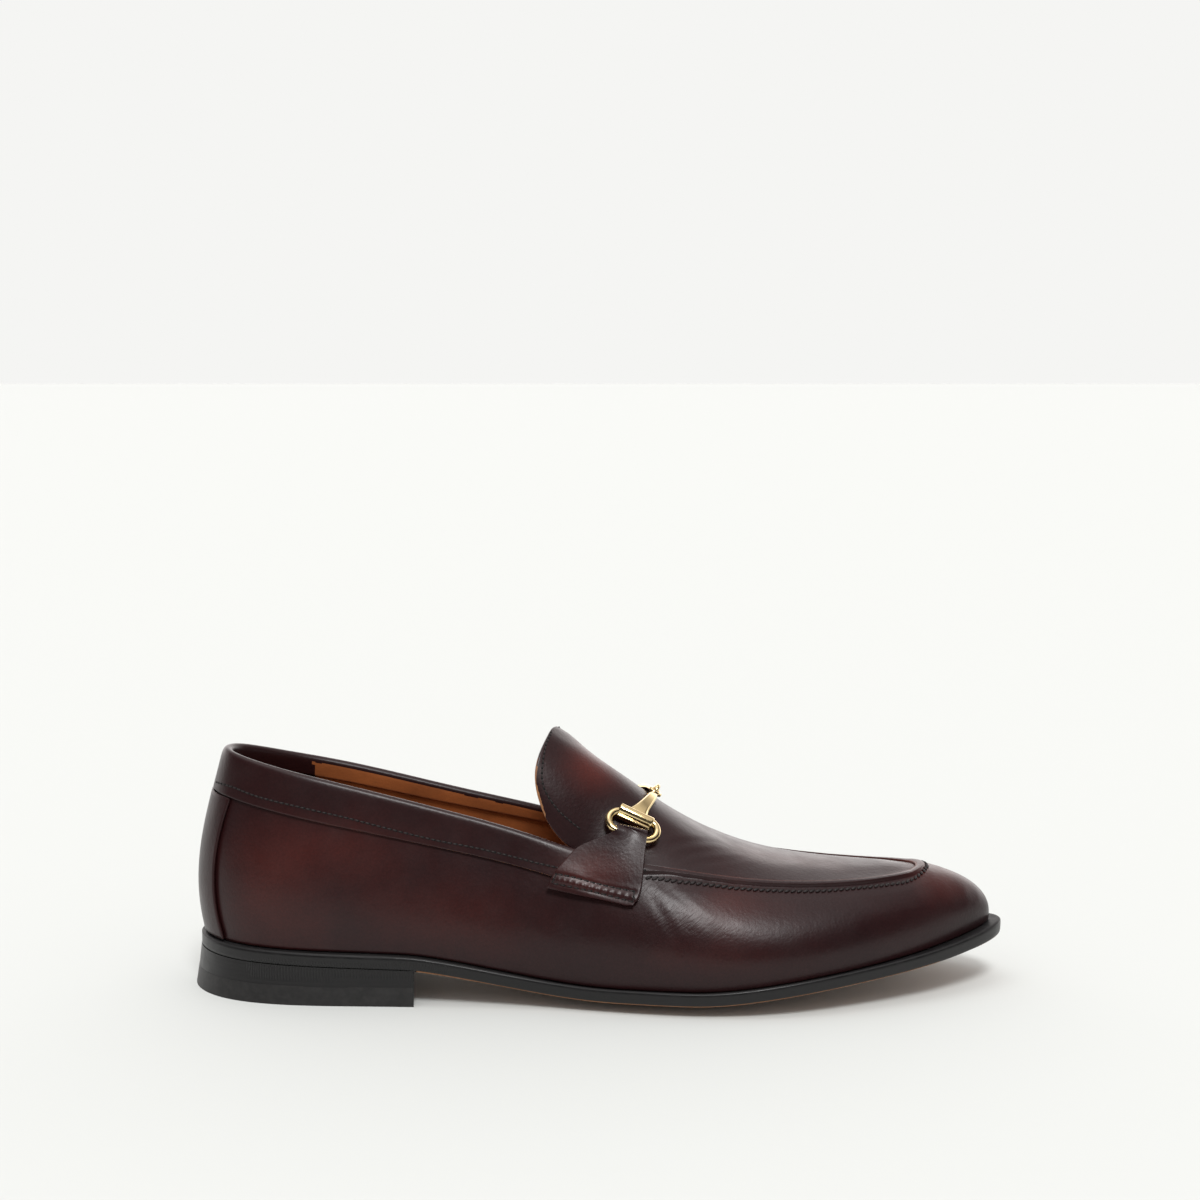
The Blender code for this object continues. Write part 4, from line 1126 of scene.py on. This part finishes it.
@dataclass
class Strap:
    """One side strap: sewn down by a box of stitches, folded round the ring."""

    finishes: Finishes
    side: Side
    upper_row: tuple[Spot, ...] = (
        (135.0, -35.3, 48.6), (140.4, -36.7, 47.9), (147.2, -37.6, 46.3), (155.2, -39.0, 44.7),
        (162.6, -40.4, 43.6))
    lower_row: tuple[Spot, ...] = (
        (133.4, -36.5, 45.5), (139.2, -37.8, 44.7), (146.6, -39.1, 43.4), (153.9, -40.4, 41.9),
        (162.2, -42.4, 40.2))
    pitch: float = 2.4
    puff: Span = (0.16, 0.14)  # how high the leather stands between the rows, and its waves
    groove: float = 0.20  # how deep the stitches pull it in

    def on_strap(self, line: Sequence[Sequence[float]], tree: BVHTree) -> Points:
        """The line moved to the strap's nearest surface, in the shoe's own mm."""
        near = [tree.find_nearest(Vector(spot))[0] for spot in placed(on_side(line, self.side))]
        return own_mm(np.array(near))

    def pull_flat(self, obj: Piece, rounds: int = 400) -> None:
        """Pulls the strap straight from its stitches to the ring, clear of the leather.

        Args:
            obj: The strap, before its subdivision.
            rounds: How often each point is drawn toward the ones beside it.
        """
        points, _ = shape_of(obj)
        middle = points.mean(axis=0)
        _, _, axes = np.linalg.svd(points - middle, full_matrices=False)
        off = axes[2] * np.sign(axes[2][1] * self.side.value)
        height = (points - middle) @ off
        ends = np.array([edge.vertices[:] for edge in obj.data.edges])
        length = np.linalg.norm(points[ends[:, 0]] - points[ends[:, 1]], axis=1)
        ends = ends[np.abs(height[ends[:, 0]] - height[ends[:, 1]]) < 0.6 * length]
        high = points[:, 2] / MM
        sewn = np.interp(points[:, 0] / MM - HEEL_BACK, (133, 163), (50.5, 46.5))
        free = (high > sewn) & (high < high.max() - 2.6)
        beside = np.bincount(ends.ravel(), minlength=len(points))
        free &= beside > 1
        for _ in range(rounds):
            total = (np.bincount(ends[:, 0], height[ends[:, 1]], len(points))
                     + np.bincount(ends[:, 1], height[ends[:, 0]], len(points)))
            height[free] = total[free] / beside[free]
        moved = points + (height - (points - middle) @ off)[:, None] * off
        leather = search_tree(*(bpy.data.objects[name] for name in
                                ("upper", "collar_band", "apron_tongue")))
        for i in np.flatnonzero(free):
            was, now = Vector(points[i]), Vector(moved[i])
            spot, facing, _, _ = leather.find_nearest(was)
            above = min(0.0013, max(0.0002, (was - spot).dot(facing)))
            spot, facing, _, _ = leather.find_nearest(now)
            short = above - (now - spot).dot(facing)
            if short > 0 and (now - spot).length < 0.004:
                moved[i] += off * short
        reshape(obj, moved)

    def round_corner(self, points: Points, by: float = 1.3) -> Points:
        """The points with the lower front corner drawn in by so many mm, as a knife cuts it."""
        corner = points[np.argmax(points[:, 0] - points[:, 2])]
        near = np.linalg.norm(points - corner, axis=1) / MM
        inward = np.array([-0.62, 0.30 * -self.side.value, 0.72])
        return points + inward * (by * MM * np.exp(-(near / 1.9) ** 2))[:, None]

    def build(self) -> None:
        """The strap with its stitches."""
        node = f"strap_{self.side.word}"
        obj = merged_copy(node, f"{self.side.word}_strap")
        self.pull_flat(obj)
        crease_edges(obj, 48, 0.62)
        subdivide(obj, 3)
        reshape(obj, self.round_corner(shape_of(obj)[0]))
        tree = search_tree(obj)
        rows = [self.on_strap(self.lower_row, tree), self.on_strap(self.upper_row, tree)]
        points, facing = shape_of(obj)
        outer = np.clip(facing[:, 1] * self.side.value * 4, 0, 1)
        middle = placed(0.62 * rows[0] + 0.38 * rows[1])
        gap, where = distance_to_line(points, middle)
        wave = np.cos(where * line_length(middle) / MM * 2 * math.pi / self.pitch)
        pucker = np.exp(-(gap / (0.9 * MM)) ** 2) * (self.puff[0] + self.puff[1] * wave)
        for row in rows:
            reach, _ = distance_to_line(points, placed(row))
            pucker = pucker - self.groove * np.exp(-(reach / (0.7 * MM)) ** 2)
        reshape(obj, points + facing * (pucker * outer * MM)[:, None])
        leather_marks(obj)
        dress(obj, "calf_leather", self.finishes.calf, node=node)
        tree = search_tree(obj)
        ends = [np.array([rows[0][0], rows[1][0]]), np.array([rows[0][-1], rows[1][-1]])]
        for number, line in enumerate(rows + ends):
            Sewing(f"{self.side.word}_strap_stitches_{number}", line, self.pitch, length=1.5,
                   thick=0.5).build(tree, self.finishes.thread, self.finishes.hole)


@dataclass
class Bottom:
    """The outsole, the heel and the insole."""

    finishes: Finishes
    crimp_along: Span = (24.0, 97.0)
    crimp_high: Span = (10.2, 15.6)
    crimp_pitch: float = 1.1
    breast: float = -0.066  # the heel's front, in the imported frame, m
    closed: float = 0.55  # heel layers pressed up to each other, mm

    def edge_marks(self, obj: Piece) -> None:
        """Writes the places of the wheel's marks on an edge, counted in teeth along it."""
        points, _ = shape_of(obj)
        x, y, z = own_mm(points).T
        turn = np.where(x < 34, 34 - np.arctan2(34 - x, np.abs(y)) * 36, x)
        write_attribute(obj, "run", turn / self.crimp_pitch)
        (back, front), (low, high) = self.crimp_along, self.crimp_high
        marked = (z > low) & (z < high) & (x > back) & (x < front)
        write_attribute(obj, "crimp", marked.astype(float))

    def outsole(self) -> None:
        """The leather outsole: inked edge, natural underneath."""
        obj = merged_copy("outsole", "leather_outsole")
        for face in obj.data.polygons:
            steep = -0.75 if face.center.x > 0.125 else -0.35
            natural = face.center.x > self.breast and face.normal.z < steep
            face.material_index = (SolePart.NATURAL if natural else SolePart.INKED).value
        crease_edges(obj, 40, 0.78)
        crease_edges(obj, 40, 1.0, self.breast)
        subdivide(obj, 2)
        self.edge_marks(obj)
        number_near(obj, face_tree(obj, SolePart.NATURAL.value), 0.45,
                    {SolePart.INKED.value}, SolePart.TAN_LINE.value)
        # Faces on the welt's top take the darker welt finish: painted shade.
        for face in obj.data.polygons:
            if face.normal.z > 0.6:
                face.material_index = SolePart.WELT_TOP.value
        dress(obj, "edge_leather", self.finishes.inked, self.finishes.sole,
              self.finishes.tan_edge, self.finishes.welt_top, angle=50, node="outsole")

    def heel(self) -> None:
        """The stacked heel and its rubber top piece."""
        for node, name, material, slot in (
                ("heel_stack", "stacked_heel", self.finishes.inked, "edge_leather"),
                ("heel_top_piece", "rubber_top_piece", self.finishes.rubber, "heel_rubber")):
            obj = merged_copy(node, name)
            for face in obj.data.polygons:
                breast = face.normal.x > 0.6 and node == "heel_stack"
                face.material_index = 1 if breast else 0
            for vertex in obj.data.vertices:
                if vertex.normal.z > 0.2:
                    vertex.co.z += self.closed * MM
            crease_edges(obj, 30, 1.0)
            subdivide(obj, 2)
            self.edge_marks(obj)
            dress(obj, slot, material, self.finishes.sole, angle=40, node=node)

    def insole(self) -> None:
        """The insole under its full sock."""
        obj = merged_copy("insole", "sock_and_insole")
        crease_edges(obj, 48, 0.7)
        subdivide(obj, 2)
        dress(obj, "lining_leather", self.finishes.lining, angle=50, node="insole")

    def build(self) -> None:
        """Makes the three."""
        self.outsole()
        self.heel()
        self.insole()


@dataclass
class Bit:
    """One half of the bit: a ring that the strap holds, a barrel on it, and an arm that
    ends in an eye linked with the other half's."""

    finishes: Finishes
    side: Side
    wire: float = 1.4
    straight: float = 9.5
    bend: float = 4.3
    barrel: float = 13.4
    barrel_radius: float = 2.3
    ring_turn: float = 4.0
    barrel_turn: float = 11.0
    eye: float = 1.95
    eye_wire: float = 0.8
    strip: Spot = (12.9, 2.0, 2.4)
    middle_x: float = 169.35
    sweep: float = 6.9
    barrel_out: float = 18.9
    arm: tuple[Spot, ...] = (
        (0.97, 9.4, 2.0), (0.90, 6.6, 1.9), (0.80, 4.9, 1.8), (0.62, 4.0, 1.7),
        (0.42, 3.6, 1.6), (0.26, 3.3, 1.5), (0.14, 2.8, 1.5))

    def frame(self) -> None:
        """Reads the ring's place from its CAD node: middle, and the directions along
        its straight bars, down it and off the leather."""
        node = bpy.data.objects[f"bit_ring_{self.side.word}"]
        points, _ = shape_of(node)
        self.centre = points.mean(axis=0)
        _, _, axes = np.linalg.svd(points - self.centre, full_matrices=False)
        self.along = axes[0] * np.sign(axes[0][0])
        self.down = axes[1] * -np.sign(axes[1][2])
        self.off = axes[2] * np.sign(axes[2][2])
        self.along, self.down = self.turned(self.ring_turn)
        self.seat = self.centre - self.down * self.bend * MM

    def turned(self, degrees: float) -> tuple[Points, Points]:
        """The ring's two directions, turned so that its front end goes down."""
        angle = math.radians(degrees)
        return (self.along * math.cos(angle) + self.down * math.sin(angle),
                self.down * math.cos(angle) - self.along * math.sin(angle))

    def to_place(self, obj: Piece, middle: Points, axes: Sequence[Points]) -> None:
        """Turns a piece made round the origin to these axes, at this place, in its mesh."""
        turn = np.eye(4)
        turn[:3, :3] = np.stack(axes, axis=1)
        turn[:3, 3] = middle
        obj.data.transform(Matrix(turn.tolist()))
        obj.matrix_world = Matrix.Identity(4)
        if np.linalg.det(turn[:3, :3]) < 0:
            obj.data.flip_normals()

    def finish(self, obj: Piece, name: str, angle: float = 50.0, node: str = "") -> None:
        """Names, shades and dresses one gilt piece."""
        obj.name = obj.data.name = f"{self.side.word}_{name}"
        dress(obj, "gilt_metal", self.finishes.gilt, angle=angle,
              node=node and f"{node}_{self.side.word}")

    def ring(self) -> None:
        """The long ring: a torus pulled apart along its straight bars."""
        bpy.ops.mesh.primitive_torus_add(
            major_radius=self.bend * MM, minor_radius=self.wire * MM, major_segments=64,
            minor_segments=24)
        obj = bpy.context.object
        for vertex in obj.data.vertices:
            if abs(vertex.co.x) > 1e-6:
                vertex.co.x += math.copysign(self.straight / 2 * MM, vertex.co.x)
        self.to_place(obj, self.centre, (self.along, self.down, self.off))
        self.finish(obj, "ring", 80, "bit_ring")

    def bar(self) -> None:
        """The barrel and the flat strip under it."""
        along, down = self.turned(self.barrel_turn - self.ring_turn)
        bpy.ops.mesh.primitive_cylinder_add(vertices=40, radius=self.barrel_radius * MM,
                                            depth=self.barrel * MM,
                                            rotation=(0.0, math.radians(90), 0.0))
        tube = bpy.context.object
        bpy.ops.object.transform_apply(location=False, rotation=True, scale=False)
        finish_with(tube, "BEVEL", width=0.75 * MM, segments=5, limit_method="ANGLE",
                    angle_limit=math.radians(60))
        self.to_place(tube, self.seat, (along, down, self.off))
        self.finish(tube, "barrel")
        bpy.ops.mesh.primitive_cube_add(size=1.0)
        strip = bpy.context.object
        strip.scale = Vector(self.strip) * MM
        bpy.ops.object.transform_apply(location=False, rotation=False, scale=True)
        finish_with(strip, "BEVEL", width=0.55 * MM, segments=4)
        self.to_place(strip, self.seat + (down * 2.3 - self.off * 0.5) * MM,
                      (along, down, self.off))
        self.finish(strip, "barrel_strip", 40)

    def line(self, tree: BVHTree, out: float, off: float) -> tuple[Points, Points]:
        """A place of the arm's middle line, and the leather's facing under it."""
        x = (self.middle_x + HEEL_BACK - self.sweep * out * out) * MM
        y = (MIDDLE + self.side.value * self.barrel_out * out) * MM
        spots = []
        for dx, dy in ((0, 0), (2, 0), (0, 2)):
            above = Vector((x + dx * MM, y + dy * MM, 0.2))
            spots.append(np.array(tree.ray_cast(above, Vector((0, 0, -1)))[0]))
        facing = unit(np.cross(spots[1] - spots[0], spots[2] - spots[0]))
        facing = facing * np.sign(facing[2])
        return spots[0] + facing * off * MM, facing

    def arm_and_eye(self, tree: BVHTree) -> None:
        """The flat arm with its bevelled edges, and the eye at its end."""
        bpy.ops.mesh.primitive_plane_add(size=1.0)
        arm = bpy.context.object
        shape = bmesh.new()
        profile = ((-0.5, -0.45), (-0.5, 0.12), (-0.36, 0.5),
                   (0.36, 0.5), (0.5, 0.12), (0.5, -0.45))
        loops = []
        places = [self.line(tree, out, 2.3 if out > 0.5 else 2.0)[0] for out, _, _ in self.arm]
        for i, (out, wide, high) in enumerate(self.arm):
            middle, facing = self.line(tree, out, 1.9 + 0.4 * min(1.0, out))
            back = places[max(0, i - 1)] - places[min(len(places) - 1, i + 1)]
            way = unit(self.along - facing * (self.along @ facing))
            across = unit(np.cross(facing, unit(back)))
            across = across * np.sign(across @ way)
            across = unit(across * (1 - 0.7 * out ** 3) + way * 0.7 * out ** 3)
            loops.append([shape.verts.new(middle + (across * a * wide + facing * b * high) * MM)
                          for a, b in profile])
        for first, second in zip(loops, loops[1:]):
            for i in range(6):
                j = (i + 1) % 6
                shape.faces.new((first[i], first[j], second[j], second[i]))
        shape.faces.new(loops[0][::-1])
        shape.faces.new(loops[-1])
        bmesh.ops.recalc_face_normals(shape, faces=shape.faces)
        shape.to_mesh(arm.data)
        shape.free()
        crease_edges(arm, 25, 0.72)
        subdivide(arm, 3)
        self.finish(arm, "arm", 40)
        middle, facing = self.line(tree, 0.0, 2.3)
        sideways = np.array([0.0, 1.0, 0.0])
        middle = middle + sideways * self.side.value * self.eye * 0.5 * MM
        ahead = unit(np.cross(sideways, facing))
        bpy.ops.mesh.primitive_torus_add(
            major_radius=self.eye * MM, minor_radius=self.eye_wire * MM, major_segments=40,
            minor_segments=16)
        eye = bpy.context.object
        others = (ahead, facing) if self.side is Side.LATERAL else (facing, ahead)
        self.to_place(eye, middle, (sideways, *others))
        self.finish(eye, "eye", 80, "bit_half")

    def build(self, tree: BVHTree) -> None:
        """Makes this half of the bit over the leather in the tree."""
        self.frame()
        self.ring()
        self.bar()
        self.arm_and_eye(tree)


@dataclass
class Studio:
    """Pale floor and surroundings, soft lights and the camera."""

    lens: float = 74.955
    camera_at: Spot = VIEW_FROM
    pitch: float = 8.105
    overhead: float = 0.9
    behind: float = 2.2
    front: float = 0.06
    fill: float = 0.80
    top_light: float = 0.4
    front_light: float = 1.95

    def floor(self) -> None:
        """A wide flat floor of matt paper."""
        bpy.ops.mesh.primitive_plane_add(size=8.0, location=(0.0, 0.0, 0.0))
        floor = bpy.context.object
        floor.name = "studio_floor"
        material, tree, place = new_skin("matt_white_paper")
        fibre = noise(tree, place, 600.0, 2.0)
        surface(tree, {"Base Color": colour("#ced1cf"), "Roughness": 0.9,
                       "Normal": bumps(tree, fibre, 0.02, 0.0002), "Specular IOR Level": 0.1})
        floor.data.materials.append(material)

    def light(self, name: str, toward: Sequence[float], power: float, wide: float) -> None:
        """Adds a light that is the same all over the floor, as from a ceiling of soft boxes.

        Args:
            name: What the light is for.
            toward: The direction that it comes from.
            power: Its strength, watts a square metre.
            wide: How wide it looks from the shoe, degrees.
        """
        data = bpy.data.lights.new(name, "SUN")
        data.energy = power
        data.angle = math.radians(wide)
        obj = new_object(name, data)
        obj.rotation_euler = Vector(toward).to_track_quat("Z", "Y").to_euler()

    def world(self) -> None:
        """Surroundings of a pale studio: bright behind and overhead, dim in front."""
        world = bpy.data.worlds.new("pale_studio")
        bpy.context.scene.world = world
        world.use_nodes = True
        tree = world.node_tree
        tree.nodes.clear()
        way = add_node(tree, "TexCoord").outputs["Generated"]
        axes = add_node(tree, "SeparateXYZ", {0: way}).outputs
        soft = "SMOOTHSTEP"
        over = spread(tree, axes["Z"], (0.6, 0.95), (0.0, self.overhead), soft)
        behind = spread(tree, axes["Y"], (0.0, 0.75), (self.front, self.behind), soft)
        low = spread(tree, axes["Z"], (0.26, 0.62), (1.0, 0.3), soft)
        shone = sum_of(tree, "MAXIMUM", over, sum_of(tree, "MULTIPLY", behind, low))
        path = add_node(tree, "LightPath")
        fill = sum_of(tree, "MULTIPLY", path.outputs["Is Diffuse Ray"], self.fill)
        seen = add_node(tree, "Background", {"Color": colour("#f5f5f3"), "Strength": 1.0})
        lit = add_node(tree, "Background", {"Color": colour("#fffaf8"),
                                            "Strength": sum_of(tree, "MAXIMUM", shone, fill)})
        mix = add_node(tree, "MixShader", {0: path.outputs["Is Camera Ray"],
                                           1: lit.outputs[0], 2: seen.outputs[0]})
        add_node(tree, "OutputWorld", {"Surface": mix.outputs[0]})

    def camera(self) -> None:
        """The photograph's view."""
        data = bpy.data.cameras.new("photo_view")
        data.lens = self.lens
        data.sensor_width = 36.0
        obj = new_object("photo_view", data)
        obj.location = self.camera_at
        obj.rotation_euler = (math.radians(90 - self.pitch), 0.0, 0.0)
        bpy.context.scene.camera = obj

    def build(self) -> None:
        """Sets up the whole studio."""
        self.floor()
        self.world()
        self.camera()
        self.light("overhead_softbox", (-0.12, 0.12, 1.0), self.top_light, 40.0)
        self.light("front_strip_softbox", (0.10, -0.62, 0.90), self.front_light, 17.0)
        bpy.context.scene.view_settings.view_transform = "Standard"


COLLAR_STITCHES = (
    (9.8, -6.0, 75.7), (17.2, -14.9, 75.7), (27.9, -21.1, 73.3), (44.2, -25.5, 70.3),
    (60.0, -26.7, 66.9), (75.7, -27.4, 62.9), (91.5, -27.9, 59.1), (107.2, -28.4, 56.1),
    (120.9, -29.9, 53.1), (127.2, -31.1, 51.7), (132.6, -32.1, 50.7), (138.4, -33.2, 49.6))
BACK_STITCHES = (
    (16.0, -14, 71.6), (12.6, -14, 63.3), (10.6, -14.5, 53.4), (10.1, -14.5, 43.4),
    (11.2, -15, 33.4), (13.8, -16, 25.4), (16.0, -17, 20.0))
TONGUE_STITCHES = (
    (132.9, -3.9, 94.3), (131.6, -10.0, 92.0), (130.7, -12.9, 89.9), (129.8, -17.6, 84.5),
    (129.7, -20.4, 79.4), (131.1, -22.0, 75.2), (135.1, -23.6, 69.5), (139.7, -24.1, 65.2),
    (143.3, -24.3, 62.3))
SEAM = (
    (162.0, -37.2, 49.4), (170.0, -37.0, 48.2), (177.8, -36.6, 46.8), (186.6, -35.6, 45.6),
    (199.9, -34.0, 43.5), (217.7, -31.0, 41.9), (231.1, -28.2, 41.6), (244.9, -23.8, 41.7),
    (254.3, -19.8, 41.7), (262.4, -14.8, 41.0), (268.4, -7.0, 40.6), (270.0, 0.2, 40.6))


def sewing(finishes: Finishes, upper: Piece, apron: Piece, band: Piece, strip: Piece) -> None:
    """Sews every row that isn't on a strap.

    Args:
        finishes: The materials.
        upper: The upper.
        apron: The apron and tongue.
        band: The collar band.
        strip: The back strip.
    """
    rows = (
        ("collar", COLLAR_STITCHES, band, 2.0, 1.35, 0.62, 0.0, finishes.thread),
        ("back_strip", BACK_STITCHES, strip, 2.0, 1.35, 0.58, 0.0, finishes.thread),
        ("tongue", TONGUE_STITCHES, apron, 1.9, 1.3, 0.58, 0.0, finishes.thread),
        ("seam", SEAM, upper, 2.3, 2.3, 1.15, 30.0, finishes.seam_thread),
    )
    for name, line, carrier, pitch, length, thick, slant, thread in rows:
        tree = face_tree(carrier, 0) if name == "seam" else search_tree(carrier)
        for side in Side:
            row = on_side(line, side)
            if name == "tongue":
                row[:, 0] += tongue_turn(row)
            Sewing(f"{name}_stitches_{side.word}", row, pitch, length, thick,
                   slant=slant).build(tree, thread, finishes.hole)


def clear_startup() -> None:
    """Removes what Blender starts with."""
    for obj in list(bpy.data.objects):
        bpy.data.objects.remove(obj)


def main() -> None:
    """Builds the shoe and its studio."""
    logging.basicConfig(level=logging.INFO, format="%(name)s %(message)s")
    clear_startup()
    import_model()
    for obj in bpy.context.view_layer.objects:
        obj.select_set(False)
    finishes = Finishes()
    upper = Upper(finishes).build()
    apron = Apron(finishes).build()
    band, strip = Trim(finishes).build()
    Bottom(finishes).build()
    tree = search_tree(apron)
    for side in Side:
        Strap(finishes, side).build()
        Bit(finishes, side).build(tree)
    sewing(finishes, upper, apron, band, strip)
    Studio().build()
    bpy.context.view_layer.update()


if __name__ == "__main__":
    main()
